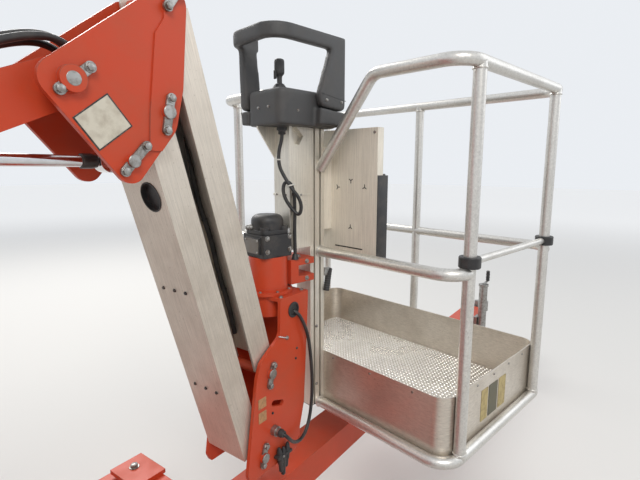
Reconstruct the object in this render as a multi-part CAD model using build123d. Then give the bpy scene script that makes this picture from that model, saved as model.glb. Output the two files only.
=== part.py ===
from build123d import *
import os
from math import atan2, degrees, hypot, radians, tan

# A towable boom lift as it is parked: boom folded over the drawbar, platform at the front,
# standing on its two road wheels and the jack. Millimetres, X towards the hitch, Y to the
# left, Z up, ground at Z = 0 and the origin under the middle of the overall length.

# Overall length and running gear
LENGTH = 6700
AXLE_X = -1100
SLEW_X = -1000
WHEEL_R = 305
TYRE_WIDTH = 178
WHEEL_Y = 735
RIM_R = 168
FENDER_R = WHEEL_R + 50
FENDER_WIDTH = 205

# Chassis frame
RAIL_Y = 300
RAIL_WIDTH = 80
FRAME_BOTTOM = 300
FRAME_TOP = 420
FRAME_REAR = -2450
FRAME_FRONT = 450
CROSS_WIDTH = 100
TONGUE_WIDTH = 150
TONGUE_FRONT = LENGTH / 2 - 270
SLEW_R = 260
SLEW_TOP = 520
AXLE_TUBE = 70
ARM_OFFSET = 120
STUB_R = 20
HUB_R = 45

# Tongue jack and outriggers
JACK_X = TONGUE_FRONT - 220
JACK_Y = -125
JACK_R = 30
JACK_ROD_R = 24
JACK_TOP = 665
JACK_BOTTOM = 210
JACK_ROD_TOP = 440
OUTRIGGER_X = 1400
OUTRIGGER_PIN_Y = 400
OUTRIGGER_LENGTH = 850
OUTRIGGER_HEIGHT = 90
FOOT_CLEARANCE = 110
LEG_R = 45

# Turntable and folding riser
TURN_R = 300
PLATE = 20
UPRIGHT_Y = 110
COVER_Z = (770, 1080)
RISER_LOW = (SLEW_X + 300, 880)
RISER_LIFT = (20, 230)
RISER_LENGTH = 2150
LINK_HALF = 80
BOOM_PIN = (RISER_LOW[0] - RISER_LENGTH - 270, 1610)
TAIL_X = BOOM_PIN[0] - 230
RISER_CYL_BASE = (SLEW_X - 190, 690)
RISER_CYL_TIP = (SLEW_X - 850, 780)
RISER_CYL_R = 36
MAIN_CYL_BASE = (BOOM_PIN[0] + 160, BOOM_PIN[1] - 340)
MAIN_CYL_TIP = (BOOM_PIN[0] + 970, BOOM_PIN[1] - 125)
MAIN_CYL_R = 38

# Main boom, fly boom and levelling cylinder
MAIN_TUBE = 150
MAIN_FRONT = -850
FLY_TUBE = 100
NECK_X = -100
HOSE_X = -560
HOSE_R = 8
LEVEL_Z = 1530
LEVEL_BASE_X = MAIN_FRONT + 110
LEVEL_R = 27

# Knuckle and folding jib, in the boom's own plane
ROTATOR_X = 700
KNUCKLE_PIN = (58, 1685)
ROD_PIN = (172, 1530)
JIB_LOW_PIN = (265, 1644)
JIB_CYL_ALONG = 800
JIB_CYL_SET = -15
JIB_CYL_R = 24
JIB_EYE_R = 24
PIN_R = 16
JIB_LINK = (40, 274)
JIB_ARM = (290, -1054)
KNUCKLE_HALF = 102
KNUCKLE_PLATE = 12
ARM_WALL = 8
ARM_HALF = 85
LOWER_Z = (-58, 20)
UPPER_Z = (-42, 38)
ARM_BOSS = 30
ARM_END = 31
ARM_PLATE_TOP = 100
DOUBLER = 4
KEEPER = 6
CORD_R = 6
CORD_OUT = 16
ARM_HOLE = (192, -27, 36)
JIB_LUG_Y = 30
DECK_Z = 1098
DECK_PLATE = 12
FLANGE_R = 82
BARREL_BOTTOM = DECK_Z - 73
HEAD_Z = DECK_Z + 22.3
CABLE_HOLE = (11, -51, 23)
ROTATOR_R = 66
MOTOR_Z = DECK_Z + 127

# Platform, in its own frame with the rotator's axis at its origin
PLATFORM_TURN = -10
RAIL_R = 19
RAIL_BOTTOM = 620
RAIL_MID = RAIL_BOTTOM + 596
RAIL_TOP = RAIL_BOTTOM + 1190
REAR_X = 209
FRONT_X = 935
END_Y = 597
CORNER_R = 75
POST_INSET = 73
FRONT_POST_Y = 40
BOARD_TOP = RAIL_BOTTOM + 204
BOARD_WALL = 4
FLOOR_Z = RAIL_BOTTOM + 22
MAST_X = (160, REAR_X + RAIL_R)
MAST_HALF = 38
COLUMN_X = (64, 160)
COLUMN_HALF = 42
MAST_TOP = RAIL_BOTTOM + 1035
COLUMN_Z = MOTOR_Z + 15
SEAM_Z = MAST_TOP - 232
BOX_X = (-10, 242)
BOX_HALF = 93
BOX_TOP = MAST_TOP + 113
HOOP_X = (-60, 250)
HOOP_Y = (-122, 126)
HOOP_Z = (MAST_TOP + 250, MAST_TOP + 295)
HOOP_BAR = 30
GLAND = (41, -33)
PANEL_HALF = 250
PANEL_Z = (MAST_TOP - 461, MAST_TOP - 1)
PANEL_X = MAST_X[1] + 45
PANEL_SHEET = 4
PANEL_BOX = (PANEL_X + 57, MAST_TOP - 155)
SLOPE_Y = 280
SLOPE_Z = RAIL_BOTTOM + 896

GAP = 0.3
PIN_FIT = 0.05
EYE_LAP = 0.6
LUG_GAP = 1

os.makedirs("parts", exist_ok=True)


def block(x, y, z):
    """Box from three (low, high) pairs."""
    size = (x[1] - x[0], y[1] - y[0], z[1] - z[0])
    return Pos((x[0] + x[1]) / 2, (y[0] + y[1]) / 2, (z[0] + z[1]) / 2) * Box(*size)


def rod_y(x, z, radius, half, y=0):
    """Cylinder along Y, centred on y."""
    return Pos(x, y, z) * Rot(90, 0, 0) * Cylinder(radius, 2 * half)


def rod_between(start, end, radius):
    """Cylinder between two points."""
    run = Vector(*end) - Vector(*start)
    plane = Plane(origin=start, z_dir=run)
    return plane * Cylinder(radius, run.length, align=(Align.CENTER, Align.CENTER, Align.MIN))


def side_plate(points, y_low, y_high, corner=0):
    """Plate in the XZ plane from its outline, between two Y values."""
    outline = Polyline(*[(x, z) for x, z in points], close=True)
    face = make_face(outline)
    if corner:
        face = fillet(face.vertices(), corner)
    plane = Plane(origin=(0, y_high, 0), x_dir=(1, 0, 0), z_dir=(0, -1, 0))
    return extrude(plane * face, y_high - y_low)


def shaped_plate(points, radii, y_low, y_high):
    """Plate in the XZ plane whose corners each have their own radius."""
    face = make_face(FilletPolyline(*points, radius=radii, close=True))
    plane = Plane(origin=(0, y_high, 0), x_dir=(1, 0, 0), z_dir=(0, -1, 0))
    return extrude(plane * face, y_high - y_low)


def spun(points, y):
    """Ring about the wheel's axis from (radius, offset) points of its section."""
    section = make_face(Polyline(*points, close=True))
    plane = Plane(origin=(AXLE_X, y, WHEEL_R), x_dir=(1, 0, 0), z_dir=(0, 0, 1))
    return revolve(plane * section, Axis((AXLE_X, y, WHEEL_R), (0, 1, 0)), 360)


def cord(name, points, radius, place=None):
    """Tube along straight runs joined by tangent arcs, each as large as its runs allow."""
    radii = []
    for before, corner, after in zip(points, points[1:], points[2:]):
        run_in, run_out = Vector(*corner) - Vector(*before), Vector(*after) - Vector(*corner)
        turn = radians(run_in.get_angle(run_out))
        radii.append(0.45 * min(run_in.length, run_out.length) / tan(turn / 2))
    path = FilletPolyline(*points, radius=radii)
    tube = sweep(Plane(origin=path @ 0, z_dir=path % 0) * Circle(radius), path)
    print(name, "length", round(path.length), "radii", [round(value) for value in radii])
    return place * tube if place else tube


def cords(name, routes, radius, place=None):
    """Node of one or more cords."""
    tubes = [cord(name, points, radius, place) for points in routes]
    save(name, sum((tube for tube in tubes[1:]), tubes[0]))


def save(name, shape):
    export_step(shape, f"parts/{name}.step")


def add(point, vector, share=1.0):
    return (point[0] + vector[0] * share, point[1] + vector[1] * share)


def cylinder_pair(base, tip, barrel_r, rod_r, barrel_share, eye, rod_in, bore_in):
    """Barrel from the base eye, and the rod from inside it to the tip eye."""
    run = Vector(tip[0] - base[0], 0, tip[1] - base[1])
    unit = run.normalized()
    at = lambda dist: (base[0] + unit.X * dist, 0, base[1] + unit.Z * dist)
    length = run.length
    barrel_end = length * barrel_share
    barrel = rod_between(at(eye * 0.6), at(barrel_end), barrel_r)
    barrel += rod_y(base[0], base[1], eye, barrel_r + EYE_LAP)
    barrel -= rod_between(at(barrel_end - bore_in), at(barrel_end + 5), rod_r + PIN_FIT)
    rod = rod_between(at(barrel_end - rod_in), at(length - eye * 0.6), rod_r)
    rod += rod_y(tip[0], tip[1], eye, 20)
    return barrel, rod


def lugs(pin, top, y_near, y_far, half=40):
    """Two cheeks that carry a cylinder's eye, with the pin's head on each."""
    cheeks = None
    for side in (-1, 1):
        y = sorted((side * y_near, side * y_far))
        z = sorted((top, pin[1]))
        cheek = block((pin[0] - half, pin[0] + half), y, z)
        cheek += rod_y(pin[0], pin[1], half, (y_far - y_near) / 2, side * (y_near + y_far) / 2)
        cheek += rod_y(pin[0], pin[1], half * 0.5, 4, side * (y_far + 4))
        cheeks = cheek if cheeks is None else cheeks + cheek
    return cheeks


# Wheels: tyre with a crowned tread, and a rim with its disc, vent holes and hub
TYRE_HALF = TYRE_WIDTH / 2
FLANGE_Y = 71


def tyre(side):
    bead = RIM_R + GAP
    points = [(bead, -FLANGE_Y + GAP), (bead + 14, -FLANGE_Y + GAP), (WHEEL_R - 80, -TYRE_HALF + 3),
              (WHEEL_R - 52, -TYRE_HALF), (WHEEL_R - 26, -TYRE_HALF + 6), (WHEEL_R - 6, -TYRE_HALF + 26),
              (WHEEL_R, -30)]
    points += [(radius, -offset) for radius, offset in reversed(points)]
    return spun(points, side * WHEEL_Y)


def rim(side):
    y = side * WHEEL_Y
    shell = RIM_R - 11
    section = [(shell, -FLANGE_Y - 6), (RIM_R + 10, -FLANGE_Y - 6), (RIM_R + 10, -FLANGE_Y), (RIM_R, -FLANGE_Y),
               (RIM_R, FLANGE_Y), (RIM_R + 10, FLANGE_Y), (RIM_R + 10, FLANGE_Y + 6), (shell, FLANGE_Y + 6)]
    body = spun(section, y)
    disc = [(HUB_R - 1, 10), (HUB_R + 14, 10), (HUB_R + 32, 30), (shell + 1, 30), (shell + 1, 22),
            (HUB_R + 36, 22), (HUB_R + 18, 2), (HUB_R - 1, 2)]
    body += spun([(radius, side * offset) for radius, offset in disc], y)
    body += rod_y(AXLE_X, WHEEL_R, HUB_R, 44, y - side * 14)
    body += rod_y(AXLE_X, WHEEL_R, HUB_R - 15, 12, y + side * 32)
    for turn_by in range(0, 360, 45):
        hole = Pos(AXLE_X, y, WHEEL_R) * Rot(0, turn_by, 0) * rod_y(HUB_R + 68, 0, 14, 40)
        body -= hole
    return body - rod_y(AXLE_X, WHEEL_R, STUB_R + PIN_FIT, 44, y - side * 58)


for side, name in ((1, "left"), (-1, "right")):
    save(f"tyre_{name}", tyre(side))
    save(f"rim_{name}", rim(side))

# Chassis: two side rails, cross members, the drawbar and the slewing pedestal
inner_y = (-RAIL_Y + RAIL_WIDTH / 2, RAIL_Y - RAIL_WIDTH / 2)
frame = []
for side in (-1, 1):
    y = sorted((side * inner_y[1], side * (inner_y[1] + RAIL_WIDTH)))
    frame.append(block((FRAME_REAR, FRAME_FRONT), y, (FRAME_BOTTOM, FRAME_TOP)))
for x in (FRAME_REAR, SLEW_X - 350, SLEW_X + 250, FRAME_FRONT - CROSS_WIDTH):
    frame.append(block((x, x + CROSS_WIDTH), inner_y, (FRAME_BOTTOM, FRAME_TOP)))
pedestal = block((SLEW_X - 250, SLEW_X + 250), inner_y, (FRAME_TOP - PLATE, FRAME_TOP))
pedestal += Pos(SLEW_X, 0, (FRAME_TOP + SLEW_TOP) / 2) * Cylinder(SLEW_R, SLEW_TOP - FRAME_TOP)
frame.append(pedestal)
for end in (-1, 1):
    for side in (-1, 1):
        x = SLEW_X + end * OUTRIGGER_X
        y = sorted((side * RAIL_Y, side * (OUTRIGGER_PIN_Y + 55)))
        for z in ((FRAME_BOTTOM - 15, FRAME_BOTTOM), (FRAME_TOP, FRAME_TOP + 15)):
            ear = block((x - 60, x + 60), y, z)
            frame.append(ear - Pos(x, side * OUTRIGGER_PIN_Y, z[0]) * Cylinder(18 + PIN_FIT, 60))
frame.append(block((FRAME_REAR - 25, FRAME_REAR), (-RAIL_Y, RAIL_Y), (FRAME_BOTTOM, FRAME_TOP)))
save("chassis_frame", Compound(children=[Part(piece.wrapped) for piece in frame]))

tongue = block((FRAME_FRONT, TONGUE_FRONT), (-TONGUE_WIDTH / 2, TONGUE_WIDTH / 2),
               (FRAME_BOTTOM, FRAME_TOP))
save("drawbar", tongue)

nose = LENGTH / 2
coupler = block((TONGUE_FRONT, nose - 60), (-35, 35), (FRAME_TOP - 90, FRAME_TOP - 10))
coupler += Pos(nose - 45, 0, FRAME_TOP - 50) * Cylinder(45, 80)
coupler -= Pos(nose - 45, 0, FRAME_TOP - 70) * Cylinder(28, 80)
coupler += shaped_plate([(nose - 230, FRAME_TOP - 12), (nose - 70, FRAME_TOP - 12), (nose - 80, FRAME_TOP + 8),
                         (nose - 225, FRAME_TOP + 42)], [4, 4, 12, 8], -13, 13)
save("coupler", coupler)

lamps = []
for side in (-1, 1):
    y = sorted((side * (RAIL_Y - 110), side * (RAIL_Y - 10)))
    lamp = block((FRAME_REAR - 60, FRAME_REAR - 25), y, (FRAME_BOTTOM + 25, FRAME_TOP - 25))
    lamps.append(fillet(lamp.edges().filter_by(Axis.X), 12))
save("tail_lamps", lamps[0] + lamps[1])

# Torsion axle: a square tube under the rails, with trailing arms and stubs
tube_z = (FRAME_BOTTOM - AXLE_TUBE, FRAME_BOTTOM)
tube_x = (AXLE_X + ARM_OFFSET - AXLE_TUBE / 2, AXLE_X + ARM_OFFSET + AXLE_TUBE / 2)
axle = block(tube_x, (-590, 590), tube_z)
arm_points = [(AXLE_X - 38, WHEEL_R + 30), (AXLE_X - 38, WHEEL_R - 38), (tube_x[1] - 4, tube_z[0]),
              (tube_x[1], tube_z[1]), (AXLE_X + 10, WHEEL_R + 38)]
for side in (-1, 1):
    axle += shaped_plate(arm_points, [16, 24, 8, 8, 24], *sorted((side * 580, side * 600)))
    stub_end = WHEEL_Y - 15
    axle += rod_y(AXLE_X, WHEEL_R, STUB_R, (stub_end - 590) / 2, side * (stub_end + 590) / 2)
save("axle", axle)

for side, name in ((1, "left"), (-1, "right")):
    y = side * WHEEL_Y
    arch = rod_y(AXLE_X, WHEEL_R, FENDER_R, FENDER_WIDTH / 2, y)
    arch -= rod_y(AXLE_X, WHEEL_R, FENDER_R - 5, FENDER_WIDTH, y)
    lip = rod_y(AXLE_X, WHEEL_R, FENDER_R - 4, 3, y + side * (FENDER_WIDTH / 2 - 3))
    arch += lip - rod_y(AXLE_X, WHEEL_R, FENDER_R - 22, 10, y + side * (FENDER_WIDTH / 2 - 3))
    arch -= block((AXLE_X - 500, AXLE_X + 500), (y - 200, y + 200), (-200, WHEEL_R + 20))
    post_y = WHEEL_Y - FENDER_WIDTH / 2 + 1.5
    for x in (AXLE_X - 230, AXLE_X + 200):
        arch += block((x, x + 30), sorted((side * (RAIL_Y + RAIL_WIDTH / 2), side * post_y)), (FRAME_TOP - 25, FRAME_TOP))
        arch += block((x, x + 30), sorted((side * (post_y - 12), side * post_y)),
                      (FRAME_TOP - 25, WHEEL_R + 0.83 * FENDER_R))
    save(f"fender_{name}", arch)

# Tongue jack
upright = (Align.CENTER, Align.CENTER, Align.MIN)
jack = Pos(JACK_X, JACK_Y, JACK_BOTTOM) * Cylinder(JACK_R, JACK_TOP - JACK_BOTTOM, align=upright)
jack += block((JACK_X - 40, JACK_X + 40), (JACK_Y + JACK_R - 4, -TONGUE_WIDTH / 2), (FRAME_BOTTOM, FRAME_TOP))
jack -= Pos(JACK_X, JACK_Y, JACK_BOTTOM - 1) * Cylinder(JACK_ROD_R + PIN_FIT, JACK_TOP - JACK_BOTTOM - 19, align=upright)
jack += Pos(JACK_X, JACK_Y, JACK_TOP) * Cylinder(JACK_R + 5, 16)
jack += block((JACK_X - 8, JACK_X + 110), (JACK_Y - 8, JACK_Y + 8), (JACK_TOP + 8, JACK_TOP + 14))
jack += Pos(JACK_X + 100, JACK_Y, JACK_TOP + 10) * Cylinder(11, 80, align=upright)
save("jack_tube", jack)
foot = Pos(JACK_X, JACK_Y, 0) * Cylinder(JACK_ROD_R, JACK_ROD_TOP, align=upright)
foot += Pos(JACK_X, JACK_Y, 0) * Cylinder(70, 10, align=upright)
save("jack_foot", foot)

# Outriggers: swing beam with its vertical leg tube, and the leg with its pad
for end, end_name in ((1, "front"), (-1, "rear")):
    for side, side_name in ((1, "left"), (-1, "right")):
        x = SLEW_X + end * OUTRIGGER_X
        y = side * OUTRIGGER_PIN_Y
        tip = x - end * OUTRIGGER_LENGTH
        half = OUTRIGGER_HEIGHT / 2
        z = (FRAME_BOTTOM + FRAME_TOP) / 2
        beam = block(sorted((x, tip)), sorted((y, y + side * 80)), (z - half, z + half))
        beam += Pos(x, y, z) * Cylinder(40, FRAME_TOP - FRAME_BOTTOM - 2 * GAP)
        leg_y = y + side * 40
        beam += Pos(tip, leg_y, z - 15) * Cylinder(LEG_R, 270)
        beam += Pos(x, y, z) * Cylinder(18, 150)
        beam -= Pos(tip, leg_y, z - 15) * Cylinder(32 + PIN_FIT, 400)
        save(f"outrigger_{end_name}_{side_name}", beam)
        leg = Pos(tip, leg_y, FOOT_CLEARANCE + 190) * Cylinder(32, 360)
        leg += Pos(tip, leg_y, FOOT_CLEARANCE + 6) * Cylinder(85, 12)
        save(f"leg_{end_name}_{side_name}", leg)

# Turntable: slewing plate, two uprights with the riser's pins, battery and pump covers
riser_up = add(RISER_LOW, RISER_LIFT)
base_z = SLEW_TOP + GAP
turn = Pos(SLEW_X, 0, base_z + PLATE / 2) * Cylinder(TURN_R, PLATE)
upright_points = [(SLEW_X - 260, base_z + PLATE), (SLEW_X + 240, base_z + PLATE),
                  (RISER_LOW[0] + 70, RISER_LOW[1] - 20), (riser_up[0] + 70, riser_up[1] + 70),
                  (riser_up[0] - 70, riser_up[1] + 70), (SLEW_X - 80, RISER_LOW[1] - 90)]
for side in (-1, 1):
    y = sorted((side * UPRIGHT_Y, side * (UPRIGHT_Y + PLATE)))
    turn += side_plate(upright_points, *y)
for x, z in (RISER_LOW, riser_up):
    turn -= rod_y(x, z, 22 + PIN_FIT, 300)
turn += lugs(RISER_CYL_BASE, base_z + PLATE, RISER_CYL_R + LUG_GAP, RISER_CYL_R + 15)
for side in (-1, 1):
    y = sorted((side * (UPRIGHT_Y + PLATE - 2), side * 470))
    turn += block((SLEW_X - 300, SLEW_X + 300), y, (COVER_Z[0] - 12 - GAP, COVER_Z[0] - GAP))
turn += Pos(SLEW_X + 170, 0, base_z + PLATE) * Cylinder(62, 90, align=upright)
turn += Pos(SLEW_X + 170, 0, base_z + PLATE) * Cylinder(42, 190, align=upright)
save("turntable", turn)

for side, name in ((1, "battery_cover"), (-1, "pump_cover")):
    y = sorted((side * (UPRIGHT_Y + PLATE), side * 480))
    cover = block((SLEW_X - 330, SLEW_X + 330), y, COVER_Z)
    cover = fillet(cover.edges().filter_by(Axis.Y), 60)
    outer = cover.faces().sort_by(Axis.Y)[-1 if side > 0 else 0]
    cover = fillet(outer.edges(), 28)
    for row in range(6):
        z = COVER_Z[0] + 70 + 22 * row
        cover -= block((SLEW_X - 230, SLEW_X - 90), sorted((side * 472, side * 490)), (z, z + 9))
    cover -= block((SLEW_X + 120, SLEW_X + 200), sorted((side * 466, side * 490)), (COVER_Z[0] + 100, COVER_Z[0] + 150))
    save(name, cover)

# Riser: two parallel links and the rear upright
riser_rear_low = add(RISER_LOW, (-RISER_LENGTH, 0))
riser_rear_up = add(riser_up, (-RISER_LENGTH, 0))


def link(front, rear, height, half, pin=22):
    body = block((rear[0], front[0]), (-half, half), (front[1] - height / 2, front[1] + height / 2))
    body += rod_y(front[0], front[1], height / 2, half) + rod_y(rear[0], rear[1], height / 2, half)
    for x, z in (front, rear):
        body += rod_y(x, z, pin, UPRIGHT_Y + PLATE - GAP)
    return body


lower = link(RISER_LOW, riser_rear_low, 110, LINK_HALF)
lower += lugs(RISER_CYL_TIP, RISER_LOW[1] - 50, 21, 34)
save("riser_link_lower", lower)
save("riser_link_upper", link(riser_up, riser_rear_up, 80, LINK_HALF))

rear_points = [(riser_rear_low[0] + 70, riser_rear_low[1] - 70), (riser_rear_up[0] + 90, riser_rear_up[1] + 60),
               (BOOM_PIN[0] + 70, BOOM_PIN[1] + 70), (BOOM_PIN[0] - 90, BOOM_PIN[1] + 70),
               (TAIL_X, BOOM_PIN[1] - 60), (TAIL_X + 150, riser_rear_low[1] - 70)]
rear = None
for side in (-1, 1):
    y = sorted((side * UPRIGHT_Y, side * (UPRIGHT_Y + PLATE)))
    plate = side_plate(rear_points, *y)
    rear = plate if rear is None else rear + plate
rear += block((TAIL_X, TAIL_X + 15), (-UPRIGHT_Y, UPRIGHT_Y), (BOOM_PIN[1] - 360, BOOM_PIN[1] - 110))
for x, z in (riser_rear_low, riser_rear_up, BOOM_PIN):
    rear -= rod_y(x, z, 22 + PIN_FIT, 300)
rear += lugs(MAIN_CYL_BASE, riser_rear_up[1] + 80, MAIN_CYL_R + LUG_GAP, MAIN_CYL_R + 15)
rear += block((MAIN_CYL_BASE[0] - 60, MAIN_CYL_BASE[0] + 60), (-UPRIGHT_Y, UPRIGHT_Y),
              (riser_rear_up[1] + 65, riser_rear_up[1] + 80))
save("riser_upright", rear)


barrel, rod = cylinder_pair(RISER_CYL_BASE, RISER_CYL_TIP, RISER_CYL_R, 20, 0.85, 32, 490, 510)
save("riser_cylinder_barrel", barrel)
save("riser_cylinder_rod", rod)

# Main boom, with the fly boom in it
half = MAIN_TUBE / 2
bore = FLY_TUBE / 2 + 12
main = block((BOOM_PIN[0], MAIN_FRONT), (-half, half), (BOOM_PIN[1] - half, BOOM_PIN[1] + half))
main += rod_y(BOOM_PIN[0], BOOM_PIN[1], half, half)
main -= block((BOOM_PIN[0] + 200, MAIN_FRONT + 1), (-bore, bore), (BOOM_PIN[1] - bore, BOOM_PIN[1] + bore))
main += rod_y(*BOOM_PIN, 22, UPRIGHT_Y + PLATE)
main += lugs(MAIN_CYL_TIP, BOOM_PIN[1] - half, 21, 34)
for turn_by in (0, 90, 180, 270):
    pad = block((MAIN_FRONT - 90, MAIN_FRONT), (-30, 30), (FLY_TUBE / 2 + GAP, bore))
    main += Pos(0, 0, BOOM_PIN[1]) * Rot(turn_by, 0, 0) * pad
collar = block((MAIN_FRONT - 60, MAIN_FRONT), (-half - 10, half + 10), (BOOM_PIN[1] - half - 10, BOOM_PIN[1] + half + 10))
main += collar - block((MAIN_FRONT - 61, MAIN_FRONT + 1), (-half + 1, half - 1),
                       (BOOM_PIN[1] - half + 1, BOOM_PIN[1] + half - 1))
save("main_boom", main)

barrel, rod = cylinder_pair(MAIN_CYL_BASE, MAIN_CYL_TIP, MAIN_CYL_R, 21, 0.8, 30, 460, 480)
save("main_cylinder_barrel", barrel)
save("main_cylinder_rod", rod)

half = FLY_TUBE / 2
fly_z = BOOM_PIN[1]
fly = block((BOOM_PIN[0] + 260, NECK_X), (-half, half), (fly_z - half, fly_z + half))
fly += block((BOOM_PIN[0] + 260, BOOM_PIN[0] + 330), (-bore + GAP, bore - GAP),
             (fly_z - bore + GAP, fly_z + bore - GAP))
neck = degrees(atan2(KNUCKLE_PIN[1] - fly_z, KNUCKLE_PIN[0] - NECK_X))
neck_run = hypot(KNUCKLE_PIN[1] - fly_z, KNUCKLE_PIN[0] - NECK_X)
neck_part = block((0, neck_run), (-half, half), (-half, half)) + rod_y(neck_run, 0, half, half)
fly += Pos(NECK_X, 0, fly_z) * Rot(0, -neck, 0) * neck_part
fly += rod_y(NECK_X, fly_z, half, half)
fly += rod_y(*KNUCKLE_PIN, 40, KNUCKLE_HALF - KNUCKLE_PLATE - GAP)
fly += rod_y(*KNUCKLE_PIN, 20, KNUCKLE_HALF)
fly += lugs((LEVEL_BASE_X, LEVEL_Z), fly_z - half, LEVEL_R + LUG_GAP, LEVEL_R + 13, 32)
fly += block((HOSE_X - 80, HOSE_X), (-44, 44), (fly_z + half - 1, fly_z + half + 30))
save("fly_boom", fly)

barrel, rod = cylinder_pair((LEVEL_BASE_X, LEVEL_Z), ROD_PIN, LEVEL_R, 13, 0.62, 26, 100, 330)
save("level_cylinder_barrel", barrel)
save("level_cylinder_rod", rod)

# Held hoses from the boom's junction cover over the neck to its nose
hoses = []
top = fly_z + half + HOSE_R + GAP
nose_bend = Vector(54, 0, 53)
nose_end = nose_bend.normalized() * (half + GAP)
for y, rise in ((-30, 0), (-6, 8), (18, -4)):
    points = [(HOSE_X, top), (HOSE_X + 160, top), (HOSE_X + 280, top + 5), (-170, 1690 + rise), (-80, 1722 + rise),
              (0, 1762 + rise), (58, 1776 + rise), (98, 1762 + rise), add(KNUCKLE_PIN, (nose_bend.X, nose_bend.Z)),
              add(KNUCKLE_PIN, (nose_end.X, nose_end.Z))]
    hoses.append([(x, y, z) for x, z in points])
cords("neck_hoses", hoses, HOSE_R)

# Knuckle: two kite-shaped plates and the pins of the jib
jib_up_pin = add(JIB_LOW_PIN, JIB_LINK)
low_end = add(JIB_LOW_PIN, JIB_ARM)
up_end = add(jib_up_pin, JIB_ARM)
knuckle_points = [add(KNUCKLE_PIN, (-75, 4)), add(ROD_PIN, (-2, -68)), add(JIB_LOW_PIN, (22, -40)),
                  add(JIB_LOW_PIN, (46, 56)), add(jib_up_pin, (34, 62))]
knuckle_radii = [40, 34, 60, 60, 40]
step_line = [add(jib_up_pin, (-30, 90)), add(jib_up_pin, (-37, -68)), add(jib_up_pin, (-61, -104)),
             add(JIB_LOW_PIN, (-44, -7)), add(JIB_LOW_PIN, (-50, -90)), add(JIB_LOW_PIN, (120, -90)),
             add(jib_up_pin, (120, 90))]
knuckle = None
for side in (-1, 1):
    y = sorted((side * (KNUCKLE_HALF - KNUCKLE_PLATE), side * KNUCKLE_HALF))
    plate = shaped_plate(knuckle_points, knuckle_radii, *y)
    y = sorted((side * (KNUCKLE_HALF - 1), side * (KNUCKLE_HALF + DOUBLER)))
    plate += shaped_plate(knuckle_points, knuckle_radii, *y) & side_plate(step_line, *y)
    knuckle = plate if knuckle is None else knuckle + plate
knuckle -= rod_y(*KNUCKLE_PIN, 20 + PIN_FIT, 300)
for pin in (jib_up_pin, JIB_LOW_PIN):
    knuckle += rod_y(*pin, PIN_R, KNUCKLE_HALF + 14)
for side in (-1, 1):
    near = 20 + EYE_LAP
    knuckle += rod_y(*ROD_PIN, 14, (KNUCKLE_HALF + 12 - near) / 2, side * (near + KNUCKLE_HALF + 12) / 2)
    cap_y = side * (KNUCKLE_HALF + 7)
    knuckle += rod_y(*KNUCKLE_PIN, 26, 7, cap_y) - rod_y(*KNUCKLE_PIN, 20 + PIN_FIT, 7, side * (KNUCKLE_HALF - 2))
keepers = [(add(KNUCKLE_PIN, (36, 28)), add(KNUCKLE_PIN, (-24, -22)), 0),
           (add(JIB_LOW_PIN, (8, 32)), add(JIB_LOW_PIN, (-7, -42)), DOUBLER),
           (add(ROD_PIN, (34, 34)), add(ROD_PIN, (-19, -22)), 0),
           (jib_up_pin, add(jib_up_pin, (-29, -41)), DOUBLER)]


def keeper(start, end, lift, side):
    """Flat bar with round ends that locks a pin, on the outside of a plate."""
    run = hypot(end[0] - start[0], end[1] - start[1])
    angle = degrees(atan2(end[1] - start[1], end[0] - start[0]))
    low = KNUCKLE_HALF + lift
    y = sorted((side * low, side * (low + KEEPER)))
    middle = side * (low + KEEPER / 2)
    bar = block((0, run), y, (-10, 10)) + rod_y(0, 0, 10, KEEPER / 2, middle) + rod_y(run, 0, 10, KEEPER / 2, middle)
    return Pos(start[0], 0, start[1]) * Rot(0, -angle, 0) * bar


for start, end, lift in keepers:
    for side in (-1, 1):
        knuckle += keeper(start, end, lift, side)
save("knuckle", knuckle)


def arm_frame(start, vector):
    """Local frame of an arm: X along it, Z to its front side."""
    angle = degrees(atan2(vector[1], vector[0]))
    return Pos(start[0], 0, start[1]) * Rot(0, -angle, 0)


arm_length = hypot(*JIB_ARM)
inner = ARM_HALF - ARM_WALL


def channel(low, high, plate, plate_x):
    """Arm of two cheeks with bossed ends and one plate, open on the plate's other side."""
    arm = block(plate_x, (-ARM_HALF, ARM_HALF), plate)
    for side in (-1, 1):
        y = sorted((side * inner, side * ARM_HALF))
        middle = side * (inner + ARM_HALF) / 2
        arm += block((ARM_END, arm_length - ARM_END), y, (low, high))
        arm += block((0, arm_length), y, (max(low, -ARM_BOSS), min(high, ARM_BOSS)))
        for x in (0, arm_length):
            arm += rod_y(x, 0, ARM_BOSS, ARM_WALL / 2, middle)
    for x in (0, arm_length):
        arm -= rod_y(x, 0, PIN_R + PIN_FIT, 2 * ARM_HALF)
    return arm


low, high = LOWER_Z
lower_arm = channel(low, high, (low, low + ARM_WALL), (ARM_PLATE_TOP, arm_length - ARM_END))
lower_arm -= Pos(ARM_HOLE[0], ARM_HOLE[1], low) * Cylinder(ARM_HOLE[2], 4 * ARM_WALL)
for side in (-1, 1):
    y = sorted((side * JIB_LUG_Y, side * (JIB_LUG_Y + ARM_WALL)))
    near = 20 + EYE_LAP
    lower_arm += block((JIB_CYL_ALONG - 32, JIB_CYL_ALONG + 32), y, (low + ARM_WALL, JIB_CYL_SET))
    lower_arm += rod_y(JIB_CYL_ALONG, JIB_CYL_SET, 32, ARM_WALL / 2, side * (JIB_LUG_Y + ARM_WALL / 2))
    lower_arm += rod_y(JIB_CYL_ALONG, JIB_CYL_SET, 14, (JIB_LUG_Y - near) / 2, side * (JIB_LUG_Y + near) / 2)
save("jib_arm_lower", arm_frame(JIB_LOW_PIN, JIB_ARM) * lower_arm)

low, high = UPPER_Z
upper_arm = channel(low, high, (high - ARM_WALL, high), (ARM_END, arm_length - ARM_END))
save("jib_arm_upper", arm_frame(jib_up_pin, JIB_ARM) * upper_arm)

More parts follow.
